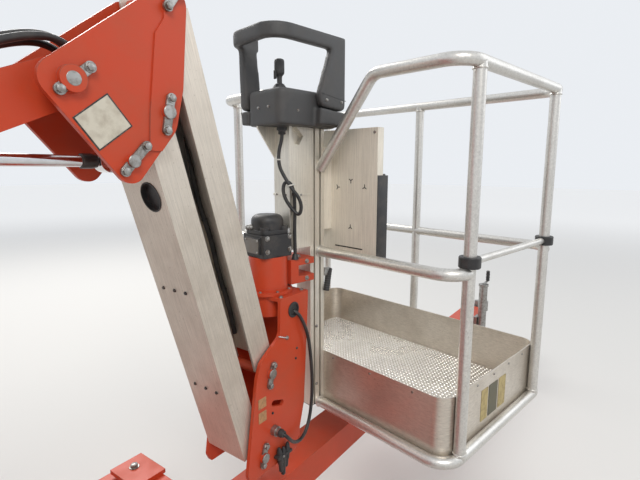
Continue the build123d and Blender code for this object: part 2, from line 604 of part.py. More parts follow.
# Held cables that lie on the upper arm's plate, one on each side of the cylinder
seat = high - ARM_WALL - HOSE_R - GAP
wander = [(60, 50), (170, 42), (290, 56), (410, 40), (530, 54), (650, 38), (770, 50), (890, 40), (1000, 50)]
routes = [[(x, -y, seat) for x, y in wander], [(x - 8, y + 4, seat) for x, y in wander]]
cords("jib_cables", routes, HOSE_R, arm_frame(jib_up_pin, JIB_ARM))

# Jib cylinder from the knuckle's top pin down into the lower arm
along = (JIB_ARM[0] / arm_length, JIB_ARM[1] / arm_length)
front = (-along[1], along[0])
jib_tip = (JIB_LOW_PIN[0] + along[0] * JIB_CYL_ALONG + front[0] * JIB_CYL_SET,
           JIB_LOW_PIN[1] + along[1] * JIB_CYL_ALONG + front[1] * JIB_CYL_SET)
barrel, rod = cylinder_pair(jib_up_pin, jib_tip, JIB_CYL_R, 12, 0.55, JIB_EYE_R, 60, 500)
save("jib_cylinder_barrel", barrel - rod_y(*jib_up_pin, PIN_R + PIN_FIT, 60))
save("jib_cylinder_rod", rod)

# Jib bracket with the rotator's barrel
front_x = ROTATOR_X + 90
bracket_points = [(ROTATOR_X - 52, DECK_Z), (ROTATOR_X - 57, DECK_Z - 123), add(up_end, (-43, 48)),
                  add(up_end, (-60, 2)), add(low_end, (-68, -30)), add(low_end, (-55, -60)),
                  (ROTATOR_X + 20, low_end[1] - 60), (ROTATOR_X + 65, DECK_Z - 408), (front_x, DECK_Z - 36),
                  (front_x, DECK_Z)]
bracket_radii = [4, 30, 30, 40, 24, 14, 25, 80, 20, 4]
bracket = None
for side in (-1, 1):
    y = sorted((side * (KNUCKLE_HALF - KNUCKLE_PLATE), side * KNUCKLE_HALF))
    plate = shaped_plate(bracket_points, bracket_radii, *y)
    bracket = plate if bracket is None else bracket + plate
slot_place = Pos(ROTATOR_X - 73, 0, DECK_Z - 351) * Rot(0, 20, 0)
bracket -= slot_place * (block((-20, 20), (-150, 0), (-10, 10)) + rod_y(-20, 0, 10, 75, -75) + rod_y(20, 0, 10, 75, -75))
bracket -= rod_y(ROTATOR_X + CABLE_HOLE[0], DECK_Z + CABLE_HOLE[1], CABLE_HOLE[2], 75, -75)
for x, z in (low_end, up_end):
    bracket += rod_y(x, z, PIN_R, KNUCKLE_HALF + 12)
for start, end in ((add(up_end, (11, 25)), add(up_end, (-7, -38))), (add(low_end, (9, 36)), add(low_end, (-6, -22)))):
    for side in (-1, 1):
        bracket += keeper(start, end, 0, side)
deck_y = (-KNUCKLE_HALF, KNUCKLE_HALF)
bracket += block((ROTATOR_X - 52, front_x), deck_y, (DECK_Z - DECK_PLATE, DECK_Z))
web_x = ROTATOR_X + 30
bracket += block((web_x, web_x + 12), (-KNUCKLE_HALF + 1, KNUCKLE_HALF - 1), (low_end[1] - 20, BARREL_BOTTOM - 20))
bracket -= Pos(ROTATOR_X, 0, DECK_Z) * Cylinder(ROTATOR_R + GAP, 4 * DECK_PLATE)
save("jib_bracket", bracket)

rotator = Pos(ROTATOR_X, 0, BARREL_BOTTOM) * Cylinder(ROTATOR_R, HEAD_Z - GAP - BARREL_BOTTOM, align=upright)
rotator += Pos(ROTATOR_X, 0, DECK_Z + GAP) * Cylinder(FLANGE_R, 12, align=upright)
save("rotator_base", rotator)

# Held cable on the bracket: out of the plate's hole, down, and back to the connector on the plate
plug_x, plug_z = low_end[0] + 51, low_end[1] + 71
outside = -KNUCKLE_HALF
plug = rod_y(plug_x, plug_z, 17, 9, outside - 9) + rod_y(plug_x, plug_z, 13, 8, outside - 24)
save("bracket_plug", plug)
hole_x, hole_z = ROTATOR_X + CABLE_HOLE[0], DECK_Z + CABLE_HOLE[1]
cords("bracket_cable", [[
    (hole_x, outside + 30, hole_z), (hole_x + 8, outside - 8, hole_z - 6), (hole_x + 34, outside - CORD_OUT, hole_z - 50),
    (hole_x + 58, outside - CORD_OUT - 2, hole_z - 110), (hole_x + 71, outside - CORD_OUT - 1, hole_z - 180),
    (hole_x + 78, outside - CORD_OUT - 2, hole_z - 255), (hole_x + 77, outside - CORD_OUT - 3, hole_z - 330),
    (hole_x + 66, outside - CORD_OUT - 4, hole_z - 400), (hole_x + 38, outside - CORD_OUT - 8, hole_z - 452),
    (hole_x - 4, outside - CORD_OUT - 14, hole_z - 468), (hole_x - 50, outside - CORD_OUT - 22, hole_z - 448),
    (plug_x + 16, outside - CORD_OUT - 36, plug_z - 20), (plug_x, outside - CORD_OUT - 32, plug_z),
    (plug_x, outside - 32, plug_z)]], CORD_R)

# Platform, built square and then turned with the rotator
swing = Pos(ROTATOR_X, 0, 0) * Rot(0, 0, PLATFORM_TURN)


def save_platform(name, shape):
    save(name, swing * shape)


head = Pos(0, 0, HEAD_Z) * Cylinder(ROTATOR_R, MOTOR_Z - HEAD_Z, align=upright)
clamp = block((ROTATOR_R - 12, MAST_X[0]), (-58, 58), (HEAD_Z, HEAD_Z + 85))
clamp -= block((ROTATOR_R + 22, MAST_X[0] + 1), (-60, 60), (HEAD_Z + 24, HEAD_Z + 62))
head += clamp
save_platform("rotator_head", head)

actuator = block((-60, 60), (-60, 60), (MOTOR_Z, MOTOR_Z + 75))
actuator = fillet(actuator.edges().filter_by(Axis.Z), 10)
dome = Pos(0, 0, MOTOR_Z + 74) * Cylinder(54, 66, align=upright)
dome = fillet(dome.edges().group_by(Axis.Z)[-1], 24)
for x, y in ((38, 38), (-38, 38), (38, -38), (-38, -38)):
    dome += Pos(x, y, MOTOR_Z + 74) * Cylinder(16, 26, align=upright)
actuator += dome + block((-66, -59), (-42, 38), (MOTOR_Z + 12, MOTOR_Z + 66))
save_platform("rotator_motor", actuator)

# Mast: a slotted extrusion, and the column of the controls with its seam and the box's gusset
mast_core = block(MAST_X, (-MAST_HALF, MAST_HALF), (RAIL_BOTTOM, MAST_TOP))
mast = mast_core
for side in (-1, 1):
    for x in (MAST_X[0] + 20, MAST_X[1] - 20):
        mast -= block((x - 4, x + 4), sorted((side * (MAST_HALF - 8), side * (MAST_HALF + 1))), (RAIL_BOTTOM - 1, MAST_TOP + 1))
        mast -= block((x - 8, x + 8), sorted((side * (MAST_HALF - 14), side * (MAST_HALF - 7))), (RAIL_BOTTOM - 1, MAST_TOP + 1))
column = block(COLUMN_X, (-COLUMN_HALF, COLUMN_HALF), (COLUMN_Z, MAST_TOP))
column += block((COLUMN_X[0] - 3, COLUMN_X[1]), (-COLUMN_HALF - 3, COLUMN_HALF + 3), (SEAM_Z, SEAM_Z + 8))
notch = [(COLUMN_X[0] + 12, MAST_TOP + 1), (COLUMN_X[0] + 12, MAST_TOP - 34), (COLUMN_X[0] + 22, MAST_TOP - 58),
         (COLUMN_X[0] + 44, MAST_TOP - 60), (COLUMN_X[0] + 62, MAST_TOP - 30), (COLUMN_X[0] + 30, MAST_TOP + 1)]
column -= side_plate(notch, -COLUMN_HALF - 1, -COLUMN_HALF + 22)
gusset = [(COLUMN_X[0] + 1, MAST_TOP - 105), (COLUMN_X[0] + 1, MAST_TOP), (COLUMN_X[0] - 70, MAST_TOP),
          (COLUMN_X[0] - 70, MAST_TOP - 6)]
column += side_plate(gusset, COLUMN_HALF - 6, COLUMN_HALF)

lever = rod_between((MAST_X[1] - 2, -MAST_HALF + 14, 1140), (MAST_X[1] + 34, -MAST_HALF + 6, 1136), 5)
lever += rod_between((MAST_X[1] + 34, -MAST_HALF + 6, 1142), (MAST_X[1] + 6, -MAST_HALF - 6, 1062), 10)
save_platform("mast", mast + column + (lever - mast_core))

# Controls: the moulded box with its joystick, and the hoop that guards them
box = block(BOX_X, (-BOX_HALF, BOX_HALF), (MAST_TOP, BOX_TOP))
box = fillet(box.edges().filter_by(Axis.Z), 32)
box = fillet(box.faces().sort_by(Axis.Z)[-1].edges(), 14)
box += Pos(60, 0, BOX_TOP) * Cylinder(26, 16) + Pos(60, 0, BOX_TOP) * Cylinder(9, 70, align=upright)
grip = Pos(60, 0, BOX_TOP + 52) * Cylinder(17, 52, align=upright)
box += fillet(grip.edges(), 7)
box += Pos(*GLAND, MAST_TOP - 22) * Cylinder(14, 23, align=upright)
save_platform("control_box", box)


def plan_slab(x, y, z, radii):
    """Block between Z values whose corners, seen from above, each have their own radius."""
    corners = [(x[0], y[0]), (x[1], y[0]), (x[1], y[1]), (x[0], y[1])]
    face = make_face(FilletPolyline(*corners, radius=radii, close=True))
    return extrude(Pos(0, 0, z[0]) * face, z[1] - z[0])


inner_x, inner_y = (HOOP_X[0] + HOOP_BAR, HOOP_X[1] + 1), (HOOP_Y[0] + HOOP_BAR, HOOP_Y[1] - HOOP_BAR)
hoop = plan_slab(HOOP_X, HOOP_Y, HOOP_Z, [80, 2, 2, 60])
hoop -= plan_slab(inner_x, inner_y, (HOOP_Z[0] - 1, HOOP_Z[1] + 1), [50, 0.5, 0.5, 30])
hoop -= block((HOOP_X[0] + 110, HOOP_X[1] + 1), (0, HOOP_Y[1] + 1), (HOOP_Z[0] - 1, HOOP_Z[1] + 1))
right_leg = [(HOOP_X[1], HOOP_Z[0] + 10), (HOOP_X[1] - 62, HOOP_Z[0] + 10), (HOOP_X[1] - 118, BOX_TOP - 10),
             (HOOP_X[1] - 112, BOX_TOP - 50), (HOOP_X[1], BOX_TOP - 60)]
hoop += shaped_plate(right_leg, [4, 10, 30, 24, 20], HOOP_Y[0], -BOX_HALF - GAP)
left_leg = [(HOOP_X[0] + 100, HOOP_Z[0] + 10), (HOOP_X[0] + 44, HOOP_Z[0] + 10), (HOOP_X[0] + 48, BOX_TOP - 60),
            (HOOP_X[0] + 118, BOX_TOP - 60)]
hoop += shaped_plate(left_leg, [4, 4, 16, 16], BOX_HALF + GAP, HOOP_Y[1])
save_platform("control_guard", hoop)

# Panel behind the mast, with a flange round it and a box on its back
panel = block((PANEL_X, PANEL_X + 30), (-PANEL_HALF, PANEL_HALF), PANEL_Z)
panel -= block((PANEL_X + PANEL_SHEET, PANEL_X + 31), (-PANEL_HALF + PANEL_SHEET, PANEL_HALF - PANEL_SHEET),
               (PANEL_Z[0] + PANEL_SHEET, PANEL_Z[1] - PANEL_SHEET))
panel += block((MAST_X[1], PANEL_X), (-30, 30), (PANEL_Z[0] + 100, PANEL_Z[1] - 60))
save_platform("panel", panel)
case = block((PANEL_X + PANEL_SHEET, PANEL_BOX[0]), (-PANEL_HALF + PANEL_SHEET + GAP, PANEL_HALF - 100),
             (PANEL_Z[0] + PANEL_SHEET + GAP, PANEL_BOX[1]))
save_platform("panel_case", fillet(case.faces().sort_by(Axis.X)[-1].edges(), 12))

# Held cable of the controls: down from its gland, a tied loop, and down to the clamp
cords("control_cable", [[
    (*GLAND, MAST_TOP - 22), (*GLAND, MAST_TOP - 44), (32, -26, 1573), (30, -28, 1527), (40, -42, 1491),
    (54, -64, 1451),
    (71, -82, 1421), (80, -86, 1387), (76, -76, 1358), (62, -57, 1380), (46, -38, 1416), (42, -32, 1450),
    (49, -38, 1474), (63, -52, 1467), (76, -52, 1430), (78, -52, 1372), (76, -52, 1328), (77, -51, 1284),
    (78, -51, 1245), (78, -51, HEAD_Z + 85)]], CORD_R, swing)


def ring(z):
    """A closed rail round the platform at one height."""
    xs, ys = (REAR_X, FRONT_X), (-END_Y, END_Y)
    path = make_face(Polyline((xs[0], ys[0]), (xs[1], ys[0]), (xs[1], ys[1]), (xs[0], ys[1]), close=True))
    path = Pos(0, 0, z) * fillet(path.vertices(), CORNER_R).faces()[0].outer_wire()
    start = path @ 0
    return sweep(Plane(origin=start, z_dir=path % 0) * Circle(RAIL_R), path)


def open_rail(points, radii):
    """A rail along a bent line."""
    path = FilletPolyline(*points, radius=radii)
    return sweep(Plane(origin=path @ 0, z_dir=path % 0) * Circle(RAIL_R), path)


post_x = (REAR_X + POST_INSET, FRONT_X - POST_INSET)
post_places = [(x, side * END_Y) for x in post_x for side in (-1, 1)] + [(FRONT_X, FRONT_POST_Y)]
posts = [Pos(x, y, RAIL_BOTTOM) * Cylinder(RAIL_R, RAIL_TOP - RAIL_BOTTOM, align=upright) for x, y in post_places]

lower_rail = ring(RAIL_BOTTOM)
middle = [open_rail([(REAR_X, MAST_HALF, RAIL_MID), (REAR_X, END_Y, RAIL_MID), (FRONT_X, END_Y, RAIL_MID),
                     (FRONT_X, -END_Y, RAIL_MID), (post_x[1], -END_Y, RAIL_MID)], [CORNER_R, CORNER_R, CORNER_R - 3]),
          open_rail([(REAR_X, -MAST_HALF, RAIL_MID), (REAR_X, -END_Y, RAIL_MID), (post_x[0], -END_Y, RAIL_MID)],
                    [CORNER_R - 3])]
upper_rail = open_rail([(REAR_X, MAST_HALF, SLOPE_Z), (REAR_X, SLOPE_Y, RAIL_TOP), (REAR_X, END_Y, RAIL_TOP),
                        (FRONT_X, END_Y, RAIL_TOP), (FRONT_X, -END_Y, RAIL_TOP), (REAR_X, -END_Y, RAIL_TOP),
                        (REAR_X, -SLOPE_Y, RAIL_TOP), (REAR_X, -MAST_HALF, SLOPE_Z)],
                       [60, CORNER_R, CORNER_R, CORNER_R, CORNER_R, 60])
middle_rail = sum((rail for rail in middle[1:]), middle[0])
for x, y in post_places:
    middle_rail -= Pos(x, y, RAIL_MID) * Cylinder(RAIL_R + GAP, 4 * RAIL_R)
save_platform("rail_lower", lower_rail - mast_core)
save_platform("rail_middle", middle_rail - mast_core)
save_platform("rail_upper", upper_rail - mast_core)
post_set = sum((post for post in posts[1:]), posts[0])
save_platform("rail_posts", post_set - lower_rail - upper_rail)

inset = RAIL_R + GAP
tub_x = (REAR_X + inset, FRONT_X - inset)
tub_y = (-END_Y + inset, END_Y - inset)
tub = block(tub_x, tub_y, (RAIL_BOTTOM + 5, BOARD_TOP))
tub = fillet(tub.edges().filter_by(Axis.Z), CORNER_R - inset)
hollow = block((tub_x[0] + BOARD_WALL, tub_x[1] - BOARD_WALL), (tub_y[0] + BOARD_WALL, tub_y[1] - BOARD_WALL),
               (FLOOR_Z, BOARD_TOP + 1))
hollow = fillet(hollow.edges().filter_by(Axis.Z), CORNER_R - inset - BOARD_WALL)
save_platform("platform_floor", tub - hollow)

bar_z = RAIL_MID + RAIL_R + GAP + 15
bar = rod_between((post_x[0] + 20, -END_Y, bar_z), (post_x[1] - 20, -END_Y, bar_z), 12)
for x in post_x:
    bar += Pos(x, -END_Y, bar_z) * Cylinder(RAIL_R + 12, 30)
for x in post_x:
    bar -= Pos(x, -END_Y, bar_z) * Cylinder(RAIL_R + PIN_FIT, 60)
save_platform("gate_bar", bar)
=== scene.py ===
from math import atan2, cos, pi, radians, sin

import bmesh
import bpy
from mathutils import Matrix, Vector


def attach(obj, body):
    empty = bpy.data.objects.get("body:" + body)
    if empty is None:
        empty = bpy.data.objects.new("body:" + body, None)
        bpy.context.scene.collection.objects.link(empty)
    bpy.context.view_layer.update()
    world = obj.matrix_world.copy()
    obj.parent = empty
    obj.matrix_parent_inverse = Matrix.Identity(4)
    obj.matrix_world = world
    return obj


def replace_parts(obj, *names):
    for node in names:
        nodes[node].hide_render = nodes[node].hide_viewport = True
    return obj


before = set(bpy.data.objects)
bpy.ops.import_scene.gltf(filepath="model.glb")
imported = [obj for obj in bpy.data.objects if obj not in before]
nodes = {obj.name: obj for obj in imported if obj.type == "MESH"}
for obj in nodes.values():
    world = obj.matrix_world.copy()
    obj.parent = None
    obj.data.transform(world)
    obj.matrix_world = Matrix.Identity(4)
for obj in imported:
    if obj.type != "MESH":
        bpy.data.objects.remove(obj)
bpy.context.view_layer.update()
scene = bpy.context.scene


# Tyres: road tyres of black rubber with ringed sidewalls, two grooves and slanted shoulder
# blocks, on steel rims. Dust and fine mottling lie on them, and light edges are worn.
def add_node(tree, kind, inputs=(), **settings):
    """New node with its settings; an input takes a plain value or another node's socket."""
    node = tree.nodes.new(kind)
    for key, value in settings.items():
        setattr(node, key, value)
    for key, value in dict(inputs).items():
        if isinstance(value, bpy.types.NodeSocket):
            tree.links.new(value, node.inputs[key])
        else:
            node.inputs[key].default_value = value
    return node


def wire(tree, kind, inputs=(), pick=0, **settings):
    """One output of a new node."""
    return add_node(tree, kind, inputs, **settings).outputs[pick]


def calc(tree, operation, *values):
    """Result of a calculation with numbers and sockets."""
    return wire(tree, "ShaderNodeMath", enumerate(values), operation=operation)


def spread(tree, value, low, high, least=0.0, most=1.0, **settings):
    """Value between least and most, as far along as the given one lies between low and high."""
    return wire(tree, "ShaderNodeMapRange", {
        "Value": value, "From Min": low, "From Max": high, "To Min": least, "To Max": most}, **settings)


def noise(tree, place, scale, detail, rough=0.5):
    """Cloudy noise between 0 and 1."""
    return wire(tree, "ShaderNodeTexNoise", {
        "Vector": place, "Scale": scale, "Detail": detail, "Roughness": rough})


def mixed(tree, share, first, second, blend="MIX"):
    """Colour between two others."""
    return wire(tree, "ShaderNodeMix", {0: share, 6: first, 7: second}, 2, data_type="RGBA", blend_type=blend)


def new_group(name, kind, inputs, outputs):
    """Empty node group with sockets by name and kind, the sockets it is given and its output node."""
    group = bpy.data.node_groups.new(name, kind)
    for side, sockets in (("INPUT", inputs), ("OUTPUT", outputs)):
        for label, socket in sockets.items():
            group.interface.new_socket(name=label, in_out=side, socket_type="NodeSocket" + socket)
    return group, add_node(group, "NodeGroupInput").outputs, add_node(group, "NodeGroupOutput")


def end_with(tree, made, *sockets):
    """Links sockets to the group's outputs."""
    for end, socket in zip(made.inputs, sockets):
        tree.links.new(socket, end)


SURFACE = {"Colour": "Color", "Rough": "Float", "Height": "Float"}
weather, given, made = new_group("weather", "ShaderNodeTree", {
    "Colour": "Color", "Worn": "Color", "Grime": "Color", "Dust": "Float", "Wear": "Float",
    "Rough": "Float", "Size": "Float", "Relief": "Float"}, SURFACE)
place = wire(weather, "ShaderNodeTexCoord", pick="Object")
mottle = noise(weather, place, given["Size"], 7, 0.62)
fine = noise(weather, place, given["Relief"], 4)
settled = spread(weather, mottle, 0.44, 0.74)
dust = calc(weather, "MULTIPLY", settled, given["Dust"])
soft = wire(weather, "ShaderNodeBevel", {"Radius": 0.0025}, samples=4)
flat = wire(weather, "ShaderNodeNewGeometry", pick="Normal")
across = wire(weather, "ShaderNodeVectorMath", {0: soft, 1: flat}, "Value", operation="DOT_PRODUCT")
rubbed = calc(weather, "MULTIPLY", spread(weather, across, 0.99, 0.84), spread(weather, mottle, 0.5, 0.6))
wear = calc(weather, "MULTIPLY", rubbed, given["Wear"])
bare = mixed(weather, wear, mixed(weather, dust, given["Colour"], given["Grime"]), given["Worn"])
end_with(weather, made, bare, calc(weather, "MULTIPLY_ADD", settled, 0.24, given["Rough"]), fine)


def finish_with(name, group, values, bump, metallic=0.0, rounding=0.0012, specular=0.5):
    """Material whose colour, roughness and relief come from a shared group."""
    material = bpy.data.materials.new(name)
    material.use_nodes = True
    tree = material.node_tree
    shader = tree.nodes["Principled BSDF"]
    effect = add_node(tree, "ShaderNodeGroup", values, node_tree=group).outputs
    corner = wire(tree, "ShaderNodeBevel", {"Radius": rounding}, samples=4)
    relief = wire(tree, "ShaderNodeBump", {
        "Strength": bump, "Distance": 0.001, "Normal": corner, "Height": effect["Height"]})
    tree.links.new(effect["Colour"], shader.inputs["Base Color"])
    tree.links.new(effect["Rough"], shader.inputs["Roughness"])
    tree.links.new(relief, shader.inputs["Normal"])
    shader.inputs["Metallic"].default_value = metallic
    shader.inputs["Specular IOR Level"].default_value = specular
    return material


def weathered(name, colour, worn, grime, numbers, bump, **surface):
    """Finish of the weather group: its numbers are dust, wear, roughness, mottle and relief."""
    tones = [(*tone, 1) for tone in (colour, worn, grime)]
    return finish_with(name, weather, enumerate(tones + list(numbers)), bump, **surface)


def walls(low, high):
    """Faces between two rings of point numbers."""
    return [(low[step - 1], low[step], high[step], high[step - 1]) for step in range(len(low))]


def turned(profile, origin, axis, steps=24, closed=False, place=Matrix()):
    """Turned shape as points and faces: (radius, height) rows in mm, about an axis through an origin."""
    lean = (place.to_3x3() @ Vector(axis)).to_track_quat("Z", "Y").to_matrix().to_4x4()
    lean = Matrix.Translation(place @ Vector(origin)) @ lean
    turns = [2 * pi * step / steps for step in range(steps)]
    metres = [(radius / 1000, height / 1000) for radius, height in profile]
    points = [lean @ Vector((radius * cos(turn), radius * sin(turn), height))
              for radius, height in metres for turn in turns]
    rings = [range(first, first + steps) for first in range(0, len(points), steps)]
    faces = [face for low, high in zip(rings, rings[1:]) for face in walls(low, high)]
    return points, faces + (walls(rings[-1], rings[0]) if closed else [rings[0], rings[-1]])


def baked(name, mesh):
    """Mesh data from a working mesh."""
    data = bpy.data.meshes.new(name)
    mesh.to_mesh(data)
    mesh.free()
    return data


def finished(name, mesh, edge=0.0):
    """Mesh data with its faces turned outward and its sharp edges rounded."""
    bmesh.ops.recalc_face_normals(mesh, faces=mesh.faces)
    if edge:
        sharp = [line for line in mesh.edges if len(line.link_faces) == 2 and line.calc_face_angle(0) > 0.6]
        bmesh.ops.bevel(mesh, geom=sharp, offset=edge, segments=2, profile=0.5, affect="EDGES",
                        clamp_overlap=True)
    return baked(name, mesh)


def hulls(name, groups):
    """Mesh data of the hulls round groups of points."""
    mesh = bmesh.new()
    for points in groups:
        bmesh.ops.convex_hull(mesh, input=[mesh.verts.new(point) for point in points])
    return finished(name, mesh)


def joined(shapes):
    """Working mesh of shapes, each of points and faces or mesh data."""
    mesh = bmesh.new()
    for shape in shapes:
        if isinstance(shape, bpy.types.Mesh):
            mesh.from_mesh(shape)
            continue
        spots = [mesh.verts.new(point) for point in shape[0]]
        for face in shape[1]:
            mesh.faces.new([spots[number] for number in face])
    return mesh


def linked(name, data):
    """New object in the scene."""
    item = bpy.data.objects.new(name, data)
    scene.collection.objects.link(item)
    return item


def placed(name, data, body, finish):
    """Object at the origin from finished mesh data, riding on a body."""
    data.materials.clear()
    data.materials.append(finish)
    data.shade_smooth()
    data.set_sharp_from_angle(angle=radians(34))
    item = linked(name, data)
    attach(item, body)
    return item


def piece(name, body, finish, shapes, edge=0.0):
    """Object from shapes in machine coordinates."""
    return placed(name, finished(name, joined(shapes), edge), body, finish)


def as_mesh(item):
    """Mesh of an object with its modifiers, in place of the object."""
    ready = item.evaluated_get(bpy.context.evaluated_depsgraph_get())
    result = bpy.data.meshes.new_from_object(ready)
    bpy.data.objects.remove(item)
    return result


def grow(name, data, tree, values):
    """Mesh that a geometry tree makes from mesh data."""
    item = linked(name, data)
    modifier = item.modifiers.new(name, "NODES")
    modifier.node_group = tree
    for socket in tree.interface.items_tree:
        if socket.in_out == "INPUT" and socket.name in values:
            modifier[socket.identifier] = values[socket.name]
    bpy.context.view_layer.update()
    return as_mesh(item)


def turn_by(tree, axis, angle):
    """Rotation about one axis."""
    return wire(tree, "FunctionNodeEulerToRotation", {0: wire(tree, "ShaderNodeCombineXYZ", {axis: angle})})


def repeated(tree, given, made, **instances):
    """Ends a geometry tree with copies on points, made real and given their finish."""
    copies = wire(tree, "GeometryNodeInstanceOnPoints", instances)
    real = wire(tree, "GeometryNodeRealizeInstances", {0: copies})
    end_with(tree, made, wire(tree, "GeometryNodeSetMaterial", {0: real, "Material": given["Finish"]}))


tyre_rubber = weathered(
    "tyre_rubber", (0.02, 0.02, 0.021), (0.06, 0.058, 0.055), (0.16, 0.14, 0.12),
    (0.6, 0.4, 0.66, 9, 300), 0.5)
around, given, made = new_group("around_wheel", "GeometryNodeTree", {
    "Block": "Geometry", "Count": "Int", "Finish": "Material"}, {"Tread": "Geometry"})
line = wire(around, "GeometryNodeMeshLine", {"Count": given["Count"], "Offset": (0, 0, 0)})
whole = calc(around, "MULTIPLY", wire(around, "GeometryNodeInputIndex"), 2 * pi)
turn = calc(around, "DIVIDE", whole, given["Count"])
repeated(around, given, made, Points=line, Instance=given["Block"], Rotation=turn_by(around, "Y", turn))

SIDES = (("left", 1), ("right", -1))
HUBS = [(name, side, Vector((-1.1, side * 0.735, 0.305))) for name, side in SIDES]
sidewall = [
    (168.4, 70.7), (182, 70.7), (187, 76.5), (198, 79.5), (200, 78), (203, 80), (222, 84.8), (224, 83.5),
    (227, 85.8), (253, 88.5), (262, 87.5), (264, 85.5), (278, 81), (289, 69), (294.5, 60), (297, 30),
    (297, 23.5), (303.5, 22), (305, 12), (303.5, 9.5), (297, 8), (297, 5.5), (304, 4)]
section = [(radius, -offset) for radius, offset in sidewall] + sidewall[::-1]
block_ends = ((0.0265, 0.305, 0.2965), (0.06, 0.3005, 0.2915))
for name, side, hub in HUBS:
    blocks = hulls("tread_block", [[
        (level, half * offset, swing + half * (offset - 0.04) * 0.3)
        for offset, top, foot in block_ends for swing in (-0.0115, 0.0115) for level in (top, foot)]
        for half in (-1, 1)])
    tread = grow("tread", blocks, around, {"Count": 60, "Finish": tyre_rubber})
    tread.transform(Matrix.Translation(hub))
    shell = turned(section, hub, (0, 1, 0), 96, closed=True)
    tyre = piece(f"road_tyre_{name}", f"wheel_{name}", tyre_rubber, [shell, tread])
    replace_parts(tyre, f"tyre_{name}")

# Rims: pressed steel in silver paint with a ring of vent holes, five plated wheel nuts, a
# rubber valve and a pressed grease cap.
rim_paint = weathered(
    "rim_paint", (0.5, 0.51, 0.52), (0.22, 0.12, 0.07), (0.2, 0.17, 0.14),
    (0.55, 0.8, 0.36, 16, 400), 0.12, metallic=0.3)
zinc = weathered(
    "zinc", (0.36, 0.355, 0.34), (0.14, 0.08, 0.05), (0.11, 0.08, 0.06),
    (0.8, 0.9, 0.3, 60, 500), 0.25, metallic=0.85)
black_rubber = weathered(
    "black_rubber", (0.018, 0.018, 0.019), (0.06, 0.06, 0.06), (0.14, 0.13, 0.12),
    (0.35, 0.3, 0.42, 25, 500), 0.15)

heads, given, made = new_group("bolt_heads", "GeometryNodeTree", {
    "Places": "Geometry", "Corners": "Int", "Seed": "Int", "Finish": "Material"}, {"Heads": "Geometry"})
washer = wire(heads, "GeometryNodeMeshCylinder", {"Vertices": 20, "Radius": 1.32, "Depth": 0.3})
prism = wire(heads, "GeometryNodeMeshCylinder", {"Vertices": given["Corners"], "Radius": 1, "Depth": 0.75})
crown = wire(heads, "GeometryNodeMeshCone", {
    "Vertices": given["Corners"], "Radius Top": 0.72, "Radius Bottom": 1, "Depth": 0.16})
crown = wire(heads, "GeometryNodeTransform", {0: crown, "Translation": (0, 0, 0.82)})
prism = wire(heads, "GeometryNodeTransform", {0: prism, "Translation": (0, 0, 0.45)})
head = add_node(heads, "GeometryNodeJoinGeometry")
for part in (crown, prism, washer):
    heads.links.new(part, head.inputs[0])
facing = wire(heads, "GeometryNodeInputNamedAttribute", {"Name": "facing"}, data_type="FLOAT_VECTOR")
size = wire(heads, "GeometryNodeInputNamedAttribute", {"Name": "size"}, data_type="FLOAT")
aim = wire(heads, "FunctionNodeAlignRotationToVector", {"Vector": facing}, axis="Z")
chance = wire(heads, "FunctionNodeRandomValue", {3: 2 * pi, "Seed": given["Seed"]}, 1, data_type="FLOAT")
spin = turn_by(heads, "Z", chance)
aim = wire(heads, "FunctionNodeRotateRotation", {0: aim, 1: spin}, rotation_space="LOCAL")
repeated(heads, given, made, Points=given["Places"], Instance=head.outputs[0], Rotation=aim, Scale=size)


def bolts(name, body, rows, finish=zinc, corners=6, place=Matrix()):
    """Bolt heads as one piece, from rows of a place, the way the head faces and its radius."""
    data = bpy.data.meshes.new(name)
    data.from_pydata([place @ Vector(point) for point, _, _ in rows], [], [])
    turn = place.to_3x3()
    ways = [value for _, way, _ in rows for value in turn @ Vector(way)]
    data.attributes.new("facing", "FLOAT_VECTOR", "POINT").data.foreach_set("vector", ways)
    data.attributes.new("size", "FLOAT", "POINT").data.foreach_set("value", [row[2] for row in rows])
    made_heads = grow(name, data, heads, {"Corners": corners, "Seed": 3 + len(rows), "Finish": finish})
    return placed(name, made_heads, body, finish)


def paint(finish, *names):
    """Gives CAD nodes a material."""
    for name in names:
        for slot in nodes[name].material_slots:
            slot.material = finish


paint(rim_paint, "rim_left", "rim_right")
for name, side, hub in HUBS:
    wheel = f"wheel_{name}"
    turns = [radians(18 + 72 * nut) for nut in range(5)]
    bolts(f"wheel_nuts_{name}", wheel,
          [(hub + Vector((0.0525 * cos(turn), side * 0.011, 0.0525 * sin(turn))), (0, side, 0), 0.0062)
           for turn in turns])
    cap = [(31, 0), (31, 6), (28.5, 9), (27, 11), (12, 13)]
    middle = hub + Vector((0, side * 0.0438, 0))
    piece(f"grease_cap_{name}", wheel, zinc, [turned(cap, middle, (0, side, 0), 32)])
    stem = [(6, -4), (5.8, 10), (4, 14), (4, 26), (4.8, 27), (4.8, 34), (3, 36)]
    foot = hub + Vector((0.125, side * 0.03, 0.052))
    piece(f"valve_{name}", wheel, black_rubber, [turned(stem, foot, (0.2, side, 0.08), 14)])

